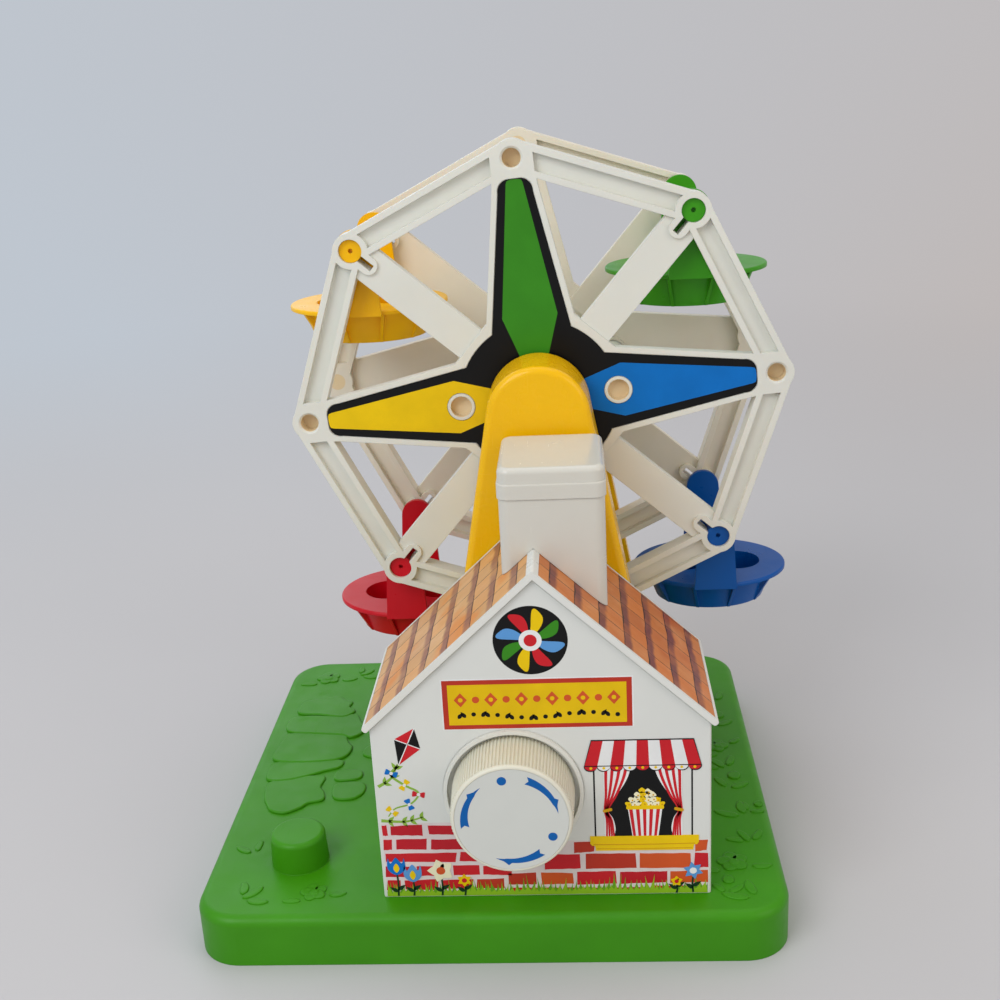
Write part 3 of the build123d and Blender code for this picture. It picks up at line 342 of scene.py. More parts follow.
M = {
    "green": plastic("green_base_plastic", C_GREEN, 0.40, 0.07, bump=0.16, edge=0.5, sss=0.03, dust=0.05, dust_color=srgb(110, 160, 60), spec=0.24),
    "white": plastic("white_house_plastic", C_WHITE, 0.30, 0.03, bump=0.10, edge=0.4, sss=0.05, yellow=0.12, spec=0.32),
    "chimney": plastic("white_gloss_plastic", srgb(212, 209, 198), 0.20, 0.03, bump=0.14, edge=0.4, sss=0.05, coat=0.15, yellow=0.10, spec=0.35),
    "cream": plastic("cream_wheel_plastic", C_CREAM, 0.40, 0.03, bump=0.10, edge=0.45, sss=0.12, yellow=0.10, dust=0.05, spec=0.30, painted_hole_tint=True),
    # painted shade: the rear frame and hub drum get a warmer beige copy of the cream plastic, standing in for the tone
    # the rear frame takes in the shade behind the front frame; the stronger yellowing is the plastic's own ageing
    "cream_rear": plastic("cream_rear_plastic", srgb(232, 225, 208), 0.42, 0.04, bump=0.10, edge=0.45, sss=0.18, yellow=0.15, dust=0.05, spec=0.30, painted_hole_tint=True),
    "knob": plastic("cream_knob_plastic", srgb(224, 221, 204), 0.36, 0.03, bump=0.06, edge=0.18, sss=0.08, yellow=0.14, spec=0.30),
    "yellow": plastic("yellow_tower_plastic", C_YELLOW, 0.26, 0.03, bump=0.08, edge=0.5, sss=0.05, coat=0.08, spec=0.28),
    "seat_yellow": plastic("yellow_seat_plastic", srgb(248, 188, 0), 0.32, 0.05, edge=0.4, sss=0.12, dust=0.03, spec=0.26),
    "seat_green": plastic("green_seat_plastic", srgb(60, 152, 20), 0.32, 0.05, edge=0.4, sss=0.08, dust=0.03, spec=0.26),
    "seat_blue": plastic("blue_seat_plastic", srgb(0, 82, 162), 0.32, 0.05, edge=0.4, sss=0.05, dust=0.02, spec=0.26),
    "seat_red": plastic("red_seat_plastic", srgb(204, 10, 30), 0.32, 0.05, edge=0.4, sss=0.06, dust=0.02, spec=0.26),
    "acetal": plastic("natural_acetal", srgb(222, 222, 212), 0.40, 0.04, edge=0.15, sss=0.05),
    "belt": rubber("belt_rubber", srgb(28, 28, 30)),
    "steel": metal("bright_steel", srgb(186, 188, 192), 0.26),
    "screw": metal("zinc_screws", srgb(172, 174, 176), 0.34, (200, 200, 200)),
    "spring": metal("spring_steel", srgb(150, 152, 160), 0.30),
    "brass": metal("brass", srgb(206, 166, 84), 0.28),
    "sheet": ink("sheet_white", C_SHEET, 0.34, 0.012, 0.12),
    "sheet_knob": ink("sheet_knob_white", srgb(208, 210, 203), 0.36, 0.012, 0.10),
    "black": ink("ink_black", srgb(10, 10, 11), 0.36, 0.15, 0.10),
    "red": ink("ink_red", srgb(200, 30, 40)),
    "red2": ink("ink_dark_red", srgb(188, 26, 40)),
    "orange": ink("ink_orange", srgb(208, 84, 36)),
    "rust": ink("ink_rust", srgb(184, 52, 34)),
    "ink_yellow": ink("ink_yellow", srgb(234, 196, 0)),
    "sign_yellow": ink("ink_sign_yellow", srgb(228, 188, 0)),
    "ink_gold": ink("ink_gold", srgb(210, 158, 8)),
    "ink_green": ink("ink_green", srgb(54, 134, 26)),
    "ink_blue": ink("ink_blue", srgb(0, 110, 194)),
    "ink_deep": ink("ink_deep_blue", srgb(0, 92, 166)),
    "ink_sky": ink("ink_sky", srgb(90, 150, 208)),
    "ink_cream": ink("ink_cream", srgb(238, 232, 196)),
    "ink_white": ink("ink_white", srgb(232, 232, 230)),
    "ink_pink": ink("ink_mortar", srgb(222, 208, 206)),
    "grass_a": ink("ink_grass_light", srgb(144, 186, 40)),
    "grass_b": ink("ink_grass_mid", srgb(104, 160, 36)),
    "leaf": ink("ink_leaf_dark", srgb(24, 56, 34)),
    "stem": ink("ink_stem", srgb(140, 180, 66)),
    "roof_l": shingles("roof_boards_left", -1),
    "roof_r": shingles("roof_boards_right", 1),
}

WEAR = {
    "base_shell": "green", "house_shell": "white", "roof_shell": "white",
    "chimney_stack": "chimney", "chimney_cap": "chimney",
    "house_front_label": "sheet", "knob_face_label": "sheet_knob",
    "roof_label_left": "roof_l", "roof_label_right": "roof_r",
    "front_tower_housing": "yellow", "front_tower_back_plate": "yellow",
    "rear_tower_housing": "yellow", "rear_tower_front_plate": "yellow",
    "wheel_front_frame": "cream", "wheel_rear_frame": "cream_rear",
    "wheel_hub_drum": "cream_rear", "wheel_tie_tubes": "cream",
    "wheel_front_label": "black", "wheel_rear_label": "black",
    "seat_yellow": "seat_yellow", "seat_green": "seat_green",
    "seat_blue": "seat_blue", "seat_red": "seat_red",
    "winding_knob": "knob", "wheel_axle": "steel", "winding_shaft": "steel",
    "axle_bushes": "acetal", "lower_pulley": "acetal", "upper_pulley": "acetal",
    "governor_idler": "brass", "air_brake_fly": "acetal", "spring_barrel": "brass",
    "barrel_cover_hub": "acetal", "pinned_cylinder": "brass", "drive_belt": "belt",
    "mainspring": "spring", "one_way_clutch_spring": "spring", "comb": "spring",
    "comb_bracket": "brass", "movement_front_plate": "brass", "movement_back_plate": "brass",
    "movement_pillars": "brass",
}
for name, obj in NODES.items():
    key = WEAR.get(name, "screw")
    if not obj.material_slots:
        obj.data.materials.append(M[key])
    for s in obj.material_slots:
        s.material = M[key]


# ------------------------------------------------------------ outline helpers
def circle(cx, cz, r, n=48, squash=1.0, turn=0.0):
    out = []
    for i in range(n):
        a = 2 * math.pi * i / n
        x, z = r * math.cos(a), r * squash * math.sin(a)
        out.append((cx + x * math.cos(turn) - z * math.sin(turn), cz + x * math.sin(turn) + z * math.cos(turn)))
    return out


def smooth(pts, n=6, closed=True):
    """Catmull-Rom curve through the points."""
    out, k = [], len(pts)
    last = k if closed else k - 1
    for i in range(last):
        if closed:
            p = [pts[(i + j) % k] for j in (-1, 0, 1, 2)]
        else:
            p = [pts[max(0, min(k - 1, i + j))] for j in (-1, 0, 1, 2)]
        for s in range(n):
            t = s / n
            q = []
            for d in (0, 1):
                a, b, c, e = (v[d] for v in p)
                q.append(0.5 * (2 * b + (c - a) * t + (2 * a - 5 * b + 4 * c - e) * t * t + (3 * b - a - 3 * c + e) * t ** 3))
            out.append(tuple(q))
    if not closed:
        out.append(tuple(pts[-1]))
    return out


def stroke(pts, w0, w1=None, n=6, wmid=None):
    """Outline of a brush line through the points, w0 wide at the start and w1 at the end."""
    w1 = w0 if w1 is None else w1
    line = smooth(pts, n, closed=False)
    left, right = [], []
    for i, p in enumerate(line):
        a, b = line[max(0, i - 1)], line[min(len(line) - 1, i + 1)]
        dx, dz = b[0] - a[0], b[1] - a[1]
        l = math.hypot(dx, dz) or 1
        t = i / (len(line) - 1)
        w = (w0 + (w1 - w0) * t) / 2
        if wmid is not None:
            w = (w0 * (1 - t) ** 2 + wmid * 2 * t * (1 - t) * 1.2 + w1 * t * t) / 2
        left.append((p[0] - dz / l * w, p[1] + dx / l * w))
        right.append((p[0] + dz / l * w, p[1] - dx / l * w))
    return left + right[::-1]


def shift(ring, dx, dz, s=1.0, turn=0.0):
    c, k = math.cos(turn) * s, math.sin(turn) * s
    return [(dx + x * c - z * k, dz + x * k + z * c) for x, z in ring]


def rect(x0, x1, z0, z1, j=0.0, rng=None):
    pts = [(x0, z0), (x1, z0), (x1, z1), (x0, z1)]
    if j and rng:
        pts = [(x + rng.uniform(-j, j), z + rng.uniform(-j, j)) for x, z in pts]
    return pts


def soft_rect(x0, x1, z0, z1, r, n=5):
    out = []
    for cx, cz, a0 in ((x1 - r, z0 + r, -90), (x1 - r, z1 - r, 0), (x0 + r, z1 - r, 90), (x0 + r, z0 + r, 180)):
        for i in range(n + 1):
            a = math.radians(a0 + 90 * i / n)
            out.append((cx + r * math.cos(a), cz + r * math.sin(a)))
    return out


def petal(length, width, sharp=0.0, n=14):
    """Teardrop petal from the origin along +z."""
    out = []
    for i in range(n + 1):
        t = i / n
        w = width / 2 * math.sin(math.pi * t ** 0.75) * (1 - sharp * t)
        out.append((w, length * t))
    return out + [(-x, z) for x, z in out[-2:0:-1]]


def clean(ring, eps=1e-4):
    out = []
    for p in ring:
        if not out or math.hypot(p[0] - out[-1][0], p[1] - out[-1][1]) > eps:
            out.append(p)
    if len(out) > 1 and math.hypot(out[0][0] - out[-1][0], out[0][1] - out[-1][1]) <= eps:
        out.pop()
    return out


# ------------------------------------------------------------- print building
class Print:
    """A printed layer as thin closed slabs. at(a, b, t) puts a sketch point in space."""

    def __init__(self, name, body, at):
        self.name, self.body, self.at = name, body, at
        self.bm = bmesh.new()
        self.mats = []

    def add(self, rings, key, t0, t1):
        """rings: the outline and its holes; t0 is the hidden side, t1 the seen side."""
        if isinstance(rings[0][0], (int, float)):
            rings = [rings]
        rings = [clean(r) for r in rings]
        if key not in self.mats:
            self.mats.append(key)
        idx = self.mats.index(key)
        flat = [p for r in rings for p in r]
        tris = tessellate_polygon([[Vector((p[0], p[1], 0)) for p in r] for r in rings])
        lo = [self.bm.verts.new(self.at(a, b, t0)) for a, b in flat]
        hi = [self.bm.verts.new(self.at(a, b, t1)) for a, b in flat]
        new = []
        for tri in tris:
            if len(set(tri)) < 3:
                continue
            for vs in ((lo[tri[0]], lo[tri[2]], lo[tri[1]]), (hi[tri[0]], hi[tri[1]], hi[tri[2]])):
                try:
                    new.append(self.bm.faces.new(vs))
                except ValueError:
                    pass
        k = 0
        for r in rings:
            n = len(r)
            for i in range(n):
                a, b = k + i, k + (i + 1) % n
                new.append(self.bm.faces.new((lo[a], lo[b], hi[b], hi[a])))
            k += n
        for f in new:
            f.material_index = idx
        bmesh.ops.recalc_face_normals(self.bm, faces=new)

    def done(self):
        me = bpy.data.meshes.new(self.name)
        self.bm.to_mesh(me)
        self.bm.free()
        ob = bpy.data.objects.new(self.name, me)
        bpy.context.scene.collection.objects.link(ob)
        for k in self.mats:
            me.materials.append(M[k])
        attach(ob, self.body)
        return ob


def on_front(x, z, t):
    """Point on the house front; t counts outwards from the sheet."""
    return Vector((x, FRONT_Y - t, z)) * MM


LAYER = 0.045


def lay(p, rings, key, level):
    p.add(rings, key, -0.08, LAYER * (level + 1))


# ------------------------------------------------ house front: bricks and grass
rng = random.Random(11)
p = Print("house_print_bricks", "stand", on_front)
X0, X1 = HOUSE_X0 + 1.6, HOUSE_X1 - 1.6
lay(p, [(X0, 24.6), (X1, 24.6), (X1, 49.6), (46, 50.4), (34, 50.4), (30, 52), (-1, 60.2), (X0, 60.2)], "ink_pink", 0)
hole_r = 29.6


def brick(x0, x1, z0, z1, key):
    """One hand-drawn brick; bricks beside the knob ring are cut back to it."""
    def push(x, z):
        dx, dz = x - KNOB_X, z - KNOB_Z
        d = math.hypot(dx, dz)
        if d < hole_r + 0.4:
            dx = dx if abs(dx) > 1e-6 else 1e-6
            need = math.sqrt(max(0.0, (hole_r + 0.4) ** 2 - dz * dz))
            x = KNOB_X + math.copysign(need, (x0 + x1) / 2 - KNOB_X)
        return x, z
    q = []
    corners = rect(x0, x1, z0, z1, 0.42, rng)
    for i in range(4):
        a, b = corners[i], corners[(i + 1) % 4]
        for s in range(6):
            t = s / 6
            x, z = a[0] + (b[0] - a[0]) * t, a[1] + (b[1] - a[1]) * t
            z += 0.10 * math.sin(7 * t + x)
            q.append(push(x, z))
    w = [pt[0] for pt in q]
    if max(w) - min(w) > 1.2:
        lay(p, q, key, 1)


rows = [
    (54.2, 59.2, [(-43.9, -42.1), (-40.6, -26.6), (-24.6, -13.4)]),
    (47.3, 52.1, [(-43.9, -40.2), (-38.7, -25.8), (-23.8, -9.6)]),
    (41.0, 45.4, [(-44.0, -13.4), (-11.8, 0.6)]),
    (33.9, 39.0, [(-44.0, -32.2), (-30.4, -17.0), (-15.4, -3.6), (-2.0, 10.0)]),
    (27.0, 32.0, [(-44.0, -38.0), (-36.2, -22.0), (-20.4, -7.0), (-5.2, 6.6)]),
    (24.4, 25.8, [(-44.0, -30.0), (-28.0, -12.0)]),
    (44.6, 49.6, [(36.6, 45.2), (87.8, 92.6)]),
    (36.2, 43.6, [(24.0, 39.4), (41.2, 62.6), (64.2, 85.4), (87.2, 92.6)]),
    (28.8, 34.8, [(8.4, 20.6), (22.4, 36.0), (37.8, 54.0), (55.8, 75.4), (77.2, 92.6)]),
    (24.4, 27.2, [(10.0, 30.0), (32.0, 50.0), (52.0, 68.0), (70.0, 84.0), (86.0, 92.6)]),
]
kinds = ["red", "red", "red2", "orange", "red", "red2", "rust", "red"]
count = 0
for z0, z1, spans in rows:
    for x0, x1 in spans:
        brick(x0, x1, z0, z1, kinds[(count * 5 + count // 4) % len(kinds)])
        count += 1
p.done()

p = Print("house_print_grass", "stand", on_front)
for level, key, top, seed in ((2, "grass_b", 5.6, 5), (3, "grass_a", 4.4, 9)):
    r = random.Random(seed)
    pts = [(X0, 23.95)]
    x = X0
    line = []
    while x < X1 - 0.6:
        w = r.uniform(1.5, 2.9)
        boost = 1.0 + 0.7 * max(0, math.sin(x * 0.17 + seed)) ** 4
        h = r.uniform(0.40, 1.0) * top * boost
        lean = r.uniform(-1.0, 1.0)
        valley = r.uniform(0.5, 1.6)
        line += [(x, 24.6 + valley), (x + w * 0.42 + lean * 0.5, 24.6 + valley + h * 0.55), (x + w * 0.5 + lean, 24.9 + valley + h)]
        line += [(x + w * 0.66 + lean * 0.4, 24.6 + valley + h * 0.45)]
        x += w
    line = [(min(X1, max(X0, a)), b) for a, b in line]
    lay(p, [(X0, 23.95), (X1, 23.95), (X1, 25.0)] + line[::-1] + [(X0, 25.0)], key, level)
p.done()

# ------------------------------------------------------------ gable medallion
p = Print("house_print_pinwheel", "stand", on_front)
cx, cz = 22.3, 143.5
lay(p, circle(cx, cz, 15.0, 72), "black", 0)
blade = smooth([(0.6, 2.0), (4.3, 5.6), (5.4, 9.8), (2.9, 13.4), (1.2, 13.0), (0.6, 8.0)], 5)
for i, key in enumerate(("ink_yellow", "ink_green", "ink_sky", "red", "ink_yellow", "ink_green", "ink_sky", "red")):
    lay(p, shift(blade, cx, cz, 1.0, -math.radians(45 * i)), key, 1)
lay(p, circle(cx, cz, 4.6, 40), "ink_white", 2)
lay(p, circle(cx, cz, 2.6, 32), "red", 3)
p.done()

# --------------------------------------------------------------- sign board
p = Print("house_print_sign", "stand", on_front)
lay(p, rect(-15.1, 62.9, 104.0, 127.0), "ink_white", 0)
lay(p, rect(-14.5, 62.3, 104.3, 126.4), "rust", 1)
lay(p, rect(-12.3, 60.1, 106.2, 124.4), "sign_yellow", 2)
n = 11
for i in range(n):
    x = -7.2 + i * (62.2 / (n - 1))
    if i % 2 == 0:
        lay(p, [(x - 2.7, 117.6), (x, 114.4), (x + 2.7, 117.6), (x, 120.8)], "orange", 3)
        lay(p, circle(x, 117.6, 0.95, 16), "ink_yellow", 4)
    else:
        lay(p, circle(x, 117.6, 1.5, 24), "orange", 3)
# a black garland of leaves and berries that waves under them
for i in range(21):
    t = i / 20
    x = -8.6 + 65.0 * t
    z = 110.1 + 1.0 * math.sin(2 * math.pi * (t * 1.5 + 0.05))
    if i % 3 == 2:
        lay(p, circle(x, z, 0.95, 20), "black", 3)
    else:
        a = math.radians(-52 if i % 3 else -128)
        lay(p, shift(petal(3.4, 1.9, 0.25), x, z - 1.2, 1.0, a + math.pi / 2), "black", 3)
p.done()

# ------------------------------------------------- kite with its tail of bows
p = Print("house_print_kite", "stand", on_front)
kx, kz, ka = -31.0, 96.4, math.radians(-24)
quad = [(0, 9.6), (5.8, 1.6), (0, -9.2), (-5.8, 1.6)]
for i, key in enumerate(("black", "red", "black", "red")):
    tri = [quad[i], quad[(i + 1) % 4], (0, 1.6)]
    lay(p, shift(tri, kx, kz, 1.0, ka), key, 1)
for a, b in ((quad[0], quad[2]), (quad[3], quad[1])):
    q = [a, ((a[0] + b[0]) / 2, (a[1] + b[1]) / 2), b]
    lay(p, shift(stroke(q, 0.4), kx, kz, 1.0, ka), "ink_white", 2)
tip = shift([quad[2]], kx, kz, 1.0, ka)[0]
tail = [tip, (-38.2, 83.5), (-33.0, 78.6), (-27.4, 74.8), (-30.6, 69.8), (-37.6, 67.4), (-40.8, 63.6)]
lay(p, stroke(tail, 1.25, 0.5), "stem", 1)
bow = smooth([(0, 0), (1.4, 1.15), (2.9, 1.5), (3.1, 0), (2.9, -1.5), (1.4, -1.15)], 4)
line = smooth(tail, 6, closed=False)
for i, (at, key) in enumerate(((0.14, "ink_blue"), (0.34, "ink_yellow"), (0.53, "red"), (0.72, "ink_blue"), (0.91, "ink_yellow"))):
    j = int(at * (len(line) - 1))
    (ax, az), (bx, bz) = line[j - 1], line[j + 1]
    a = math.atan2(bz - az, bx - ax) + math.pi / 2
    lay(p, shift(bow, *line[j], 0.86, a), key, 2)
    lay(p, shift(bow, *line[j], 0.86, a + math.pi), key, 2)
    lay(p, circle(*line[j], 0.75, 16), "ink_white", 3)
# two green sprigs at the wall
for base, end, leaves in (((-44.0, 78.0), (-35.2, 88.6), 3), ((-44.0, 61.6), (-26.0, 63.2), 4)):
    mid = ((base[0] + end[0]) / 2 + 1.2, (base[1] + end[1]) / 2 - 1.4)
    lay(p, stroke([base, mid, end], 1.5, 0.5), "stem", 1)
    ln = smooth([base, mid, end], 8, closed=False)
    for i in range(leaves):
        j = int((i + 1) / (leaves + 0.5) * (len(ln) - 1))
        (ax, az), (bx, bz) = ln[j - 1], ln[min(j + 1, len(ln) - 1)]
        a = math.atan2(bz - az, bx - ax) - math.pi / 2
        for sgn in (-1, 1):
            lay(p, shift(petal(3.4, 1.7, 0.3), *ln[j], 1.0, a + sgn * 0.85), "stem", 1)
p.done()

# -------------------------------------------- window with awning and curtains
p = Print("house_print_window", "stand", on_front)
WX0, WX1, WZ0, WZ1 = 49.8, 82.2, 52.2, 86.0
lay(p, [soft_rect(45.6, 86.6, 51.0, 92.0, 0.8), soft_rect(46.3, 85.9, 51.7, 91.3, 0.6)], "black", 0)
lay(p, rect(WX0, WX1, WZ0, WZ1), "black", 1)
for side in (-1, 1):
    ex = WX0 if side < 0 else WX1

    def c(u, z):
        return (ex - side * u, z)
    # a drawn-back curtain: full at the top, tied at the waist, flared below
    left = smooth([c(0, 86.0), c(0, 78), c(0, 70), c(0, 62), c(0, WZ0)], 5, closed=False)
    free = smooth([c(3.8, WZ0), c(4.6, 56), c(3.6, 61), c(1.7, 65.0), c(4.4, 70.5), c(8.4, 77), c(10.6, 82), c(11.2, 86.0)], 6, closed=False)
    lay(p, left + free, "ink_white", 2)
    for u_top, u_tie, u_low in ((1.2, 0.35, 0.9), (3.9, 0.8, 2.0), (6.8, 1.15, 3.0), (9.6, 1.5, 3.9)):
        lay(p, stroke([c(u_top, 85.9), c(u_top * 0.86, 80), c(u_top * 0.5 + 0.3, 72), c(u_tie, 65.0), c((u_tie + u_low) / 2 + 0.4, 60), c(u_low, WZ0 + 0.1)], 1.35, 0.75, wmid=0.75), "red", 3)
    lay(p, shift(soft_rect(-2.0, 2.0, -0.7, 0.7, 0.6), *c(1.4, 64.9), 1.0, -side * 0.25), "ink_gold", 4)
# awning with a scalloped hem
AX0, AX1, AZ0, AZ1 = 42.2, 90.0, 86.0, 97.6
n = 9
w = (AX1 - AX0) / n
inset = 3.2


def awn(i, z):
    """x of stripe edge i at height z."""
    t = (z - AZ0) / (AZ1 - AZ0)
    lo, hi = AX0 + inset * t, AX1 - inset * t
    return lo + (hi - lo) * i / n


for i in range(n):
    ring = [(awn(i, AZ1), AZ1), (awn(i, AZ0), AZ0)]
    r = w / 2
    for k in range(1, 10):
        a = math.pi + math.pi * k / 10
        ring.append(((awn(i, AZ0) + awn(i + 1, AZ0)) / 2 + r * math.cos(a), AZ0 + 0.85 * r * math.sin(a)))
    ring += [(awn(i + 1, AZ0), AZ0), (awn(i + 1, AZ1), AZ1)]
    grown = [(a + (a - 66.1) * 0.012, b + (0.45 if b > 92 else -0.45)) for a, b in ring]
    lay(p, grown, "black", 4)
    lay(p, ring, "red" if i % 2 == 0 else "ink_white", 5)
lay(p, stroke([(AX0, AZ0), (66, AZ0), (AX1, AZ0)], 0.4), "black", 6)
for i in range(n):
    lay(p, circle((awn(i, AZ0) + awn(i + 1, AZ0)) / 2, AZ0 - 1.0, 0.6, 14), "ink_yellow", 6)
# striped paper cup of puffed corn on the sill
cup = [(61.4, WZ0), (72.2, WZ0), (74.0, 66.0), (59.6, 66.0)]
lay(p, cup, "ink_white", 3)
for i in range(5):
    a0, a1 = 61.4 + i * 2.16 + 0.35, 61.4 + i * 2.16 + 1.45
    b0, b1 = 59.6 + i * 2.88 + 0.45, 59.6 + i * 2.88 + 1.95
    lay(p, [(a0, WZ0), (a1, WZ0), (b1, 66.0), (b0, 66.0)], "red", 4)
lay(p, soft_rect(59.0, 74.6, 65.2, 67.0, 0.7), "ink_yellow", 5)
r = random.Random(3)
for row, (z, cnt) in enumerate(((67.6, 7), (69.9, 6), (72.0, 4), (73.7, 2))):
    for i in range(cnt):
        x = 66.8 + (i - (cnt - 1) / 2) * 2.2 + r.uniform(-0.35, 0.35)
        zz = z + r.uniform(-0.3, 0.3)
        ring = [(x + (1.35 + 0.3 * math.sin(3 * a + i)) * math.cos(a), zz + (1.3 + 0.3 * math.sin(3 * a + row)) * math.sin(a))
                for a in [2 * math.pi * k / 20 for k in range(20)]]
        lay(p, ring, "ink_cream" if (i + row) % 3 else "ink_yellow", 3 + (i + row) % 2)
        lay(p, circle(x + 0.25, zz - 0.2, 0.38, 10), "ink_gold", 5)
# counter
lay(p, [(43.6, 49.0), (44.4, 47.9), (45.6, 47.9), (46.0, 45.4), (86.6, 45.4), (87.0, 47.9), (88.2, 47.9), (89.0, 49.0), (89.0, 52.4), (43.6, 52.4)], "ink_yellow", 6)
lay(p, stroke([(45.0, 48.5), (66, 48.3), (87.4, 48.5)], 0.45), "ink_gold", 7)
lay(p, stroke([(46.4, 46.4), (66, 46.2), (86.2, 46.4)], 0.35), "ink_gold", 7)
p.done()

# ------------------------------------------------------------ bottom flowers
p = Print("house_print_flowers", "stand", on_front)


def blossom(x, z, r_, petals, key, eye, eye_key, sharp=0.0, width=1.0, level=4, turn=0.0):
    pe = petal(r_, 2 * math.pi * r_ / petals * 0.62 * width, sharp)
    for i in range(petals):
        lay(p, shift(pe, x, z, 1.0, turn + 2 * math.pi * i / petals), key, level + (i % 2))
    lay(p, circle(x, z, eye, 24), eye_key, level + 2)


def stalk(x, z0, z1, bend=0.8):
    lay(p, stroke([(x, z0), (x + bend * 0.4, (z0 + z1) / 2), (x, z1)], 0.9, 0.7), "leaf", 4)
    for sgn, zz in ((-1, z0 + 2.0), (1, z0 + 3.0)):
        lay(p, shift(petal(4.2, 2.1, 0.35), x, zz, 1.0, -sgn * 0.95), "leaf", 4)


# a tall tulip pair on the left, a five-petal bloom, and a small one at the right
for x, z, key, low in ((-39.4, 38.2, "ink_blue", 24.2), (-32.6, 34.6, "ink_sky", 24.2)):
    stalk(x, low, z - 2.5)
    cupf = smooth([(-3.2, 4.4), (-2.2, 2.0), (0, 4.8), (2.2, 2.0), (3.2, 4.4), (3.4, -0.6), (0, -3.2), (-3.4, -0.6)], 4)
    lay(p, shift(cupf, x, z, 1.08), key, 5)
    lay(p, shift(smooth([(0, 2.6), (1.3, 0.2), (0, -2.0), (-1.3, 0.2)], 4), x, z - 0.3, 1.0), "ink_yellow", 6)
stalk(-20.4, 24.2, 33.6)
blossom(-20.4, 36.6, 5.8, 5, "ink_cream", 1.9, "orange", 0.0, 1.02, 5, 0.3)
stalk(-10.6, 24.0, 29.4)
blossom(-10.6, 31.6, 3.2, 6, "ink_yellow", 1.1, "red", 0.0, 1.0, 5)
stalk(86.6, 24.2, 32.4, -0.8)
blossom(86.6, 35.0, 4.3, 6, "ink_sky", 1.5, "ink_white", 0.15, 0.95, 5, 0.2)
stalk(79.6, 24.0, 27.8)
blossom(79.6, 29.8, 2.6, 5, "ink_yellow", 0.9, "red", 0.0, 1.0, 5)
p.done()


# ------------------------------------------------------------- wheel stars
def star_blade():
    return [(0.0, 0.6), (6.6, 20.3), (12.5, 38.2), (3.75, 96.7), (3.3, 98.0), (2.2, 98.45), (0, 98.6),
            (-2.2, 98.45), (-3.3, 98.0), (-3.75, 96.7), (-12.5, 38.2), (-6.6, 20.3)]


def wheel_front(x, z, t):
    a = math.radians(TILT)
    return Vector((AXLE_X + x * math.cos(a) - z * math.sin(a), LABEL_F - t, AXLE_Z + x * math.sin(a) + z * math.cos(a))) * MM


def wheel_rear(x, z, t):
    v = wheel_front(x, z, 0)
    return Vector((v.x, (LABEL_R + t) * MM, v.z))


for name, at in (("wheel_star_front", wheel_front), ("wheel_star_rear", wheel_rear)):
    p = Print(name, "wheel", at)
    for k, key in enumerate(("ink_green", "ink_yellow", "red", "ink_blue")):
        ring = shift(star_blade(), 0, 0, 1.0, math.radians(90 * k))
        holes = []
        if k in (1, 3):
            hx = -36.2 if k == 1 else 36.2
            holes = [circle(hx, 0, 6.55, 40)]
        # the inner point stops at the axle hole
        ring = [q if math.hypot(*q) > 1 else shift([(0, 4.2)], 0, 0, 1.0, math.radians(90 * k))[0] for q in ring]
        p.add([ring] + holes, key, -0.1, 0.07)
    p.done()

# ---------------------------------------------------------------- knob print
def on_knob(x, z, t):
    return Vector((KNOB_X + x, KNOB_FACE_Y - t, KNOB_Z + z)) * MM


def arrow(a0, a1, r0=19.1):
    """Swallow-tailed arrow sweeping clockwise from a0 to a1 (degrees), with a one-sided barb."""
    outer, inner = [], []
    n = 18
    for i in range(n + 1):
        t = i / n
        a = math.radians(a0 + (a1 - a0) * t)
        w = 1.75 * (1 - t) + 0.65 * t
        if t > 0.80:
            w = 0.65 * (1 - (t - 0.80) / 0.20)
        ro = r0 + w
        ri = r0 - w
        if 0.70 < t <= 0.80:
            ro = r0 + w + 1.7 * (0.80 - t) / 0.10 * 0.9
        outer.append((ro * math.cos(a), ro * math.sin(a)))
        inner.append((ri * math.cos(a), ri * math.sin(a)))
    d = math.radians(a0 + (a1 - a0) * 0.055)
    notch = (r0 * math.cos(d), r0 * math.sin(d))
    return [notch] + outer + inner[::-1]


p = Print("knob_print", "winding_knob", on_knob)
for a0, a1 in ((190, 128), (-52, -112), (70, 8)):
    p.add(arrow(a0, a1), "ink_deep", -0.1, 0.05)
for a in (100, -26):
    x, z = 18.2 * math.cos(math.radians(a)), 18.2 * math.sin(math.radians(a))
    p.add(circle(x, z, 1.9, 28), "ink_deep", -0.1, 0.05)
p.done()


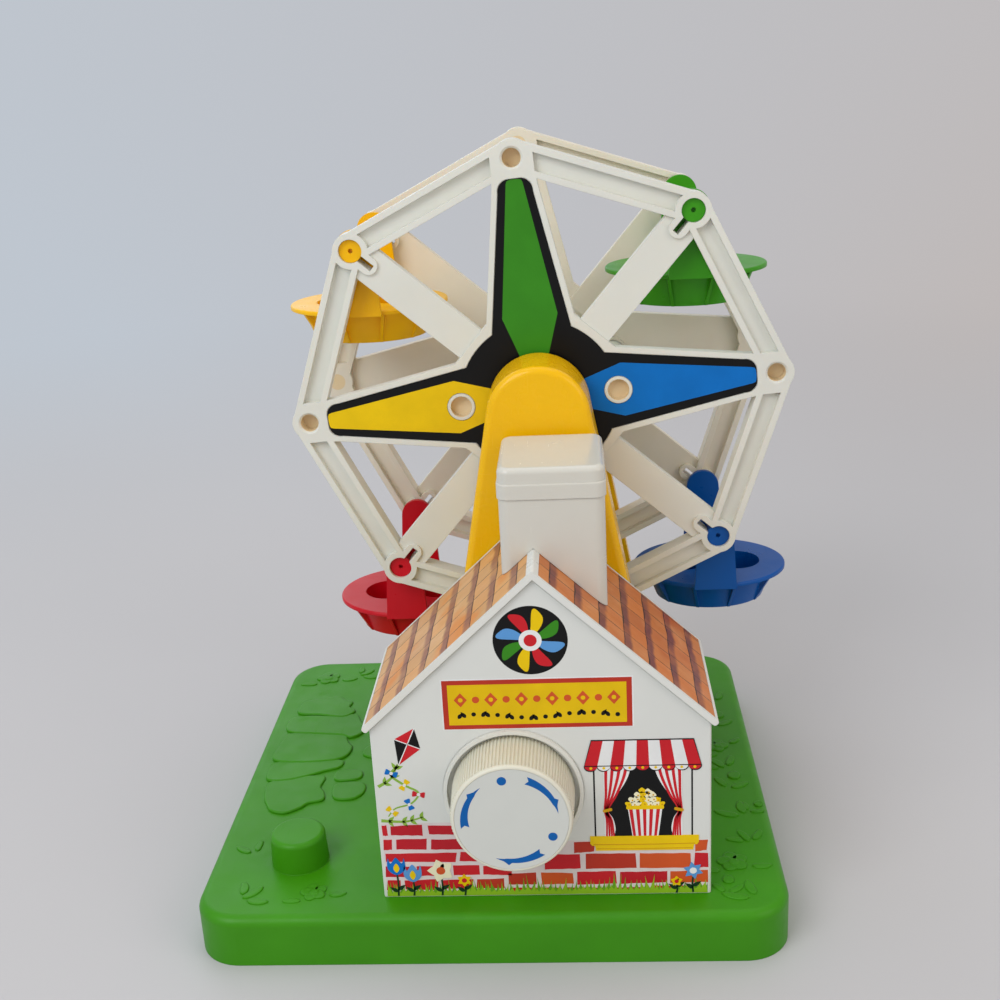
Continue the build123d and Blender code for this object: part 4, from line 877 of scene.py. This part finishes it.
# ---------------------------------------------------------- relief on the base
def relief(name, outlines, height=0.7, round_=0.45, body="stand", mat="green"):
    """Raised islands moulded on the base, with rounded shoulders."""
    bm = bmesh.new()
    for ring, h in outlines:
        ring = clean(ring)
        area = sum(ring[i][0] * ring[(i + 1) % len(ring)][1] - ring[(i + 1) % len(ring)][0] * ring[i][1] for i in range(len(ring)))
        if area < 0:
            ring = ring[::-1]
        n = len(ring)

        def inset(d):
            out = []
            for i in range(n):
                (ax, ay), (bx, by), (cx_, cy_) = ring[i - 1], ring[i], ring[(i + 1) % n]
                n1 = (-(by - ay), bx - ax)
                n2 = (-(cy_ - by), cx_ - bx)
                l1, l2 = math.hypot(*n1) or 1, math.hypot(*n2) or 1
                m = (n1[0] / l1 + n2[0] / l2, n1[1] / l1 + n2[1] / l2)
                l = math.hypot(*m) or 1
                out.append((bx + m[0] / l * d, by + m[1] / l * d))
            return out
        levels = [(0.0, -0.3, 0.0), (0.0, 0.0, 0.55), (round_ * 0.35, 0.0, 0.87), (round_, 0.0, 1.0)]
        rings = []
        for d, z0, k in levels:
            rings.append([])
            for x, y in inset(d):
                top = h(x, y) if callable(h) else h
                rings[-1].append(bm.verts.new(Vector((x, y, BASE_TOP + z0 + top * k)) * MM))
        faces = []
        for a, b in zip(rings, rings[1:]):
            for i in range(n):
                j = (i + 1) % n
                faces.append(bm.faces.new((a[i], a[j], b[j], b[i])))
        flat = inset(levels[-1][0])
        for tri in tessellate_polygon([[Vector((x, y, 0)) for x, y in flat]]):
            faces.append(bm.faces.new([rings[-1][i] for i in tri]))
        for tri in tessellate_polygon([[Vector((x, y, 0)) for x, y in inset(0.0)]]):
            faces.append(bm.faces.new([rings[0][i] for i in tri]))
        bmesh.ops.recalc_face_normals(bm, faces=faces)
        for f in faces[:n * 3]:
            f.smooth = True
    me = bpy.data.meshes.new(name)
    bm.to_mesh(me)
    bm.free()
    ob = bpy.data.objects.new(name, me)
    bpy.context.scene.collection.objects.link(ob)
    me.materials.append(M[mat])
    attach(ob, body)
    return ob


def oval(cx, cy, rx, ry, turn=0.0, wob=0.06, seed=0, n=40):
    r = random.Random(seed)
    ph = [r.uniform(0, 6.28) for _ in range(3)]
    out = []
    for i in range(n):
        a = 2 * math.pi * i / n
        k = 1 + wob * (math.sin(2 * a + ph[0]) + 0.6 * math.sin(3 * a + ph[1]) + 0.4 * math.sin(5 * a + ph[2]))
        x, y = rx * k * math.cos(a), ry * k * math.sin(a)
        c, s = math.cos(turn), math.sin(turn)
        out.append((cx + x * c - y * s, cy + x * s + y * c))
    return out


# overlapping flagstones on the left, each with a crisp front edge and its back sunk under the next
def slab(points, front, back, y0, y1):
    """Rounded outline whose top falls from `front` at y0 to `back` at y1."""
    def top(x, y):
        t = min(1.0, max(0.0, (y - y0) / (y1 - y0)))
        return front + (back - front) * t
    return smooth(points, 5), top


stones = [
    slab([(-116.5, -27), (-117, -15.5), (-114, -12.5), (-103, -9), (-92, -8), (-88.5, -10.5), (-89.5, -19), (-87, -23.5), (-86, -31), (-93, -34), (-96, -38),
          (-103, -42.5), (-110, -40.5), (-113, -36)], 1.25, 0.8, -42, -10),
    slab([(-118.5, -11.5), (-119.5, 1), (-117.5, 5.5), (-99, 7.5), (-84, 7), (-81.5, 3.5), (-83.5, -1), (-90, -4), (-97, -8), (-108, -12.5)], 1.3, 0.8, -14, 7),
    slab([(-119, 7.5), (-119.5, 21), (-117.5, 34), (-113, 36), (-93, 36.5), (-85.5, 33), (-82.5, 25), (-79.5, 19.5), (-81, 11), (-87, 6.5), (-103, 4.6)], 1.35, 0.7, 4, 37),
    slab([(-118, 38), (-118.5, 52), (-108, 55), (-92, 53.5), (-83, 56), (-79, 47), (-76, 41), (-76.5, 34), (-82, 29.5), (-88, 32.5), (-103, 34.5)], 1.3, 0.75, 31, 57),
    slab([(-116, 58), (-115, 71), (-103, 75.5), (-96, 77), (-91.5, 72.5), (-87, 70), (-88, 64), (-84, 59), (-90, 52.5), (-103, 55.5)], 1.25, 0.8, 53, 77),
    slab([(-84, -12), (-83.5, -4.5), (-78, -2.5), (-71, -4.5), (-70.5, -11), (-77.5, -13.5)], 0.95, 0.8, -14, -2),
    slab([(-83, -25), (-82.5, -17), (-75, -14.5), (-67.5, -17), (-67, -25), (-71.5, -30.5), (-80, -30.5)], 1.05, 0.8, -31, -15),
    slab([(-73, 12), (-72, 20), (-65, 22.5), (-59, 18.5), (-60.5, 11), (-67, 8.5)], 0.95, 0.8, 8, 22),
]
relief("base_relief_stones", stones, round_=0.8)


def leaf(length, width, bend=0.0, n=9):
    """Blunt-ended leaf from the origin along +y, bowed to one side."""
    right, left = [], []
    for i in range(n + 1):
        t = i / n
        w = width / 2 * math.sqrt(max(0.0, 1 - (2 * t - 1) ** 2)) * (1.12 - 0.25 * t)
        mid = bend * 4 * t * (1 - t)
        right.append((mid + w, length * t))
        left.append((mid - w, length * t))
    return right + left[-2:0:-1]


def plant(x, y, turn, kind, size=1.0):
    """Moulded plant: sprays of loose leaves, a bud, or a round five-petal bloom with leaves."""
    out = []

    def put(ring, dx, dy, a):
        c, s = math.cos(turn), math.sin(turn)
        return [(x + (px * c - py * s) * size, y + (px * s + py * c) * size) for px, py in shift(ring, dx, dy, 1.0, a)]
    if kind == "spray":
        for dx, dy, a, l in ((0.0, 0.0, 0.15, 11.0), (2.6, 0.8, -0.8, 10.0), (-2.4, 1.2, 1.05, 9.0)):
            out.append((put(leaf(l, 4.0, 0.5), dx, dy, a), 0.6))
    elif kind == "pair":
        for dx, dy, a, l in ((0.0, 0.0, 0.6, 12.0), (3.4, 0.0, -0.5, 10.5)):
            out.append((put(leaf(l, 4.2, -0.6), dx, dy, a), 0.6))
    elif kind == "bud":
        out.append((put(leaf(7.4, 6.2), 0.0, 7.5, 0.1), 0.75))
        for dx, dy, a, l in ((-1.4, 0.0, 0.9, 9.5), (1.4, 0.0, -0.7, 10.0)):
            out.append((put(leaf(l, 3.8, 0.4), dx, dy, a), 0.55))
    elif kind == "bloom":
        for i in range(5):
            out.append((put(leaf(7.2, 6.6), 0.0, 0.8, 2 * math.pi * i / 5), 0.62 + 0.08 * (i % 2)))
        out.append((put(circle(0, 0, 2.4, 20), 0.0, 0.0, 0.0), 1.05))
        for dx, dy, a, l in ((-7.5, -4.5, 1.3, 9.5), (7.2, -4.0, -1.7, 9.0)):
            out.append((put(leaf(l, 3.8, 0.5), dx, dy, a), 0.55))
    return out


plants = []
for args in ((-108, -108, -0.9, "spray"), (-77, -105, 0.3, "bloom", 0.85), (-112, -74, 0.4, "pair", 0.8),
             (-106, 100, 0.3, "bloom"), (-88, 104, -1.0, "spray", 0.9), (-66, 88, 0.5, "pair"), (-64, 58, -0.4, "bud", 0.9),
             (113, 62, 0.5, "spray"), (103, 84, -0.5, "bloom", 0.9), (111, 36, -0.3, "bud"), (110, 14, 0.9, "bloom", 0.85),
             (111, -7, 0.5, "spray"), (111, -25, -0.4, "bud"), (113, -50, 0.6, "pair"), (118, -46, -0.8, "bud", 0.7),
             (115, -71, 0.3, "spray", 0.9), (106, -87, 0.2, "bloom"), (110, -112, 0.7, "pair"), (101, -108, -0.2, "bud", 0.8),
             (60, 104, 1.2, "spray"), (-30, 106, -0.9, "pair")):
    plants += plant(*args)
relief("base_relief_plants", plants, round_=0.7)

# -------------------------------------------------------------- stage, lights
def box_mesh(name, lo, hi):
    bm = bmesh.new()
    bmesh.ops.create_cube(bm, size=1.0)
    for v in bm.verts:
        v.co = Vector([lo[i] + (v.co[i] + 0.5) * (hi[i] - lo[i]) for i in range(3)])
    me = bpy.data.meshes.new(name)
    bm.to_mesh(me)
    bm.free()
    ob = bpy.data.objects.new(name, me)
    bpy.context.scene.collection.objects.link(ob)
    return ob


ROOM_LEFT, ROOM_RIGHT, ROOM_LIGHT = srgb(206, 214, 224), srgb(206, 200, 199), 0.84


def floor_material():
    """Pale floor that fades further out into a painted glow, an emission in the colours of the room's light."""
    t = Tree("floor_pale")
    t.link(t.mix(t.noise(2.5, 3), srgb(192, 190, 190), srgb(197, 195, 195)), t.bsdf.inputs["Base Color"])
    t.bsdf.inputs["Roughness"].default_value = 0.65
    t.bsdf.inputs["Specular IOR Level"].default_value = 0.2
    sep = t.node("ShaderNodeSeparateXYZ")
    t.link(t.coord, sep.inputs[0])
    x, y = sep.outputs[0], sep.outputs[1]
    r = t.math("SQRT", t.math("ADD", t.math("MULTIPLY", x, x), t.math("MULTIPLY", y, y)))
    u = t.span(t.math("DIVIDE", x, t.math("MAXIMUM", r, 0.01)), -0.45, 0.45)
    # painted light: past about 0.3 m the floor turns into an emission in the room's colours, cool on the left and warm
    # on the right, so it glows though it is no lamp
    glow = t.node("ShaderNodeEmission")
    t.link(t.mix(u, ROOM_LEFT, ROOM_RIGHT), glow.inputs[0])
    glow.inputs[1].default_value = ROOM_LIGHT
    both = t.node("ShaderNodeMixShader")
    t.link(t.span(r, 0.30, 1.5, smooth=True), both.inputs[0])
    t.link(t.bsdf.outputs[0], both.inputs[1])
    t.link(glow.outputs[0], both.inputs[2])
    t.link(both.outputs[0], t.out.inputs[0])
    return t.mat


floor = box_mesh("floor", (-30, -30, -0.02), (30, 30, 0.0))
floor.data.materials.append(floor_material())


def area(name, loc, target, size, power, color=(1, 1, 1), size_y=None):
    d = bpy.data.lights.new(name, "AREA")
    d.shape = "RECTANGLE"
    d.size, d.size_y = size, size_y or size
    d.energy = power
    d.color = color
    o = bpy.data.objects.new(name, d)
    bpy.context.scene.collection.objects.link(o)
    o.location = loc
    o.rotation_euler = (Vector(target) - Vector(loc)).to_track_quat("-Z", "Y").to_euler()
    return o


area("key", (-0.9, -1.2, 1.35), (0.02, 0, 0.15), 1.1, 16.5, (0.97, 0.985, 1.0))
area("fill", (1.3, -0.9, 0.9), (0.02, 0, 0.15), 1.0, 6.0, (1.0, 0.93, 0.84))
area("top", (0.1, 0.3, 1.7), (0.02, 0.05, 0.1), 1.4, 6.0, (0.96, 0.98, 1.0))
area("back", (-0.7, 1.3, 0.9), (0.02, 0, 0.2), 0.9, 3.0, (0.9, 0.95, 1.0))

world = bpy.data.worlds.new("studio")
bpy.context.scene.world = world
world.use_nodes = True
wn = world.node_tree
bg = wn.nodes["Background"]
# a plain room: cool daylight on the left, warmer on the right
way = wn.nodes.new("ShaderNodeTexCoord")
split = wn.nodes.new("ShaderNodeSeparateXYZ")
wn.links.new(way.outputs["Generated"], split.inputs[0])
across = wn.nodes.new("ShaderNodeMapRange")
across.inputs["From Min"].default_value = -0.45
across.inputs["From Max"].default_value = 0.45
wn.links.new(split.outputs[0], across.inputs["Value"])
tint = wn.nodes.new("ShaderNodeMix")
tint.data_type = "RGBA"
tint.inputs[6].default_value = ROOM_LEFT
tint.inputs[7].default_value = ROOM_RIGHT
wn.links.new(across.outputs["Result"], tint.inputs["Factor"])
wn.links.new(tint.outputs[2], bg.inputs[0])
bg.inputs[1].default_value = ROOM_LIGHT

# --------------------------------------------------------------------- camera
CAM = Vector((44.455, -581.506, 366.872)) * MM
yaw, pitch, roll = -0.0657994, 0.3327318, 0.0531707
fw = Vector((math.sin(yaw) * math.cos(pitch), math.cos(yaw) * math.cos(pitch), -math.sin(pitch)))
rt = Vector((math.cos(yaw), -math.sin(yaw), 0.0))
up = rt.cross(fw)
cx_, cy_ = math.cos(roll) * rt - math.sin(roll) * up, math.sin(roll) * rt + math.cos(roll) * up
cam = bpy.data.cameras.new("camera")
cam.sensor_width = 36.0
cam.lens = 1306.939 / 1000 * 36.0
cam.clip_start, cam.clip_end = 0.01, 50
co = bpy.data.objects.new("camera", cam)
bpy.context.scene.collection.objects.link(co)
rot = Matrix((cx_, cy_, -fw)).transposed()
co.matrix_world = Matrix.Translation(CAM) @ rot.to_4x4()
bpy.context.scene.camera = co
bpy.context.scene.view_settings.view_transform = "Standard"
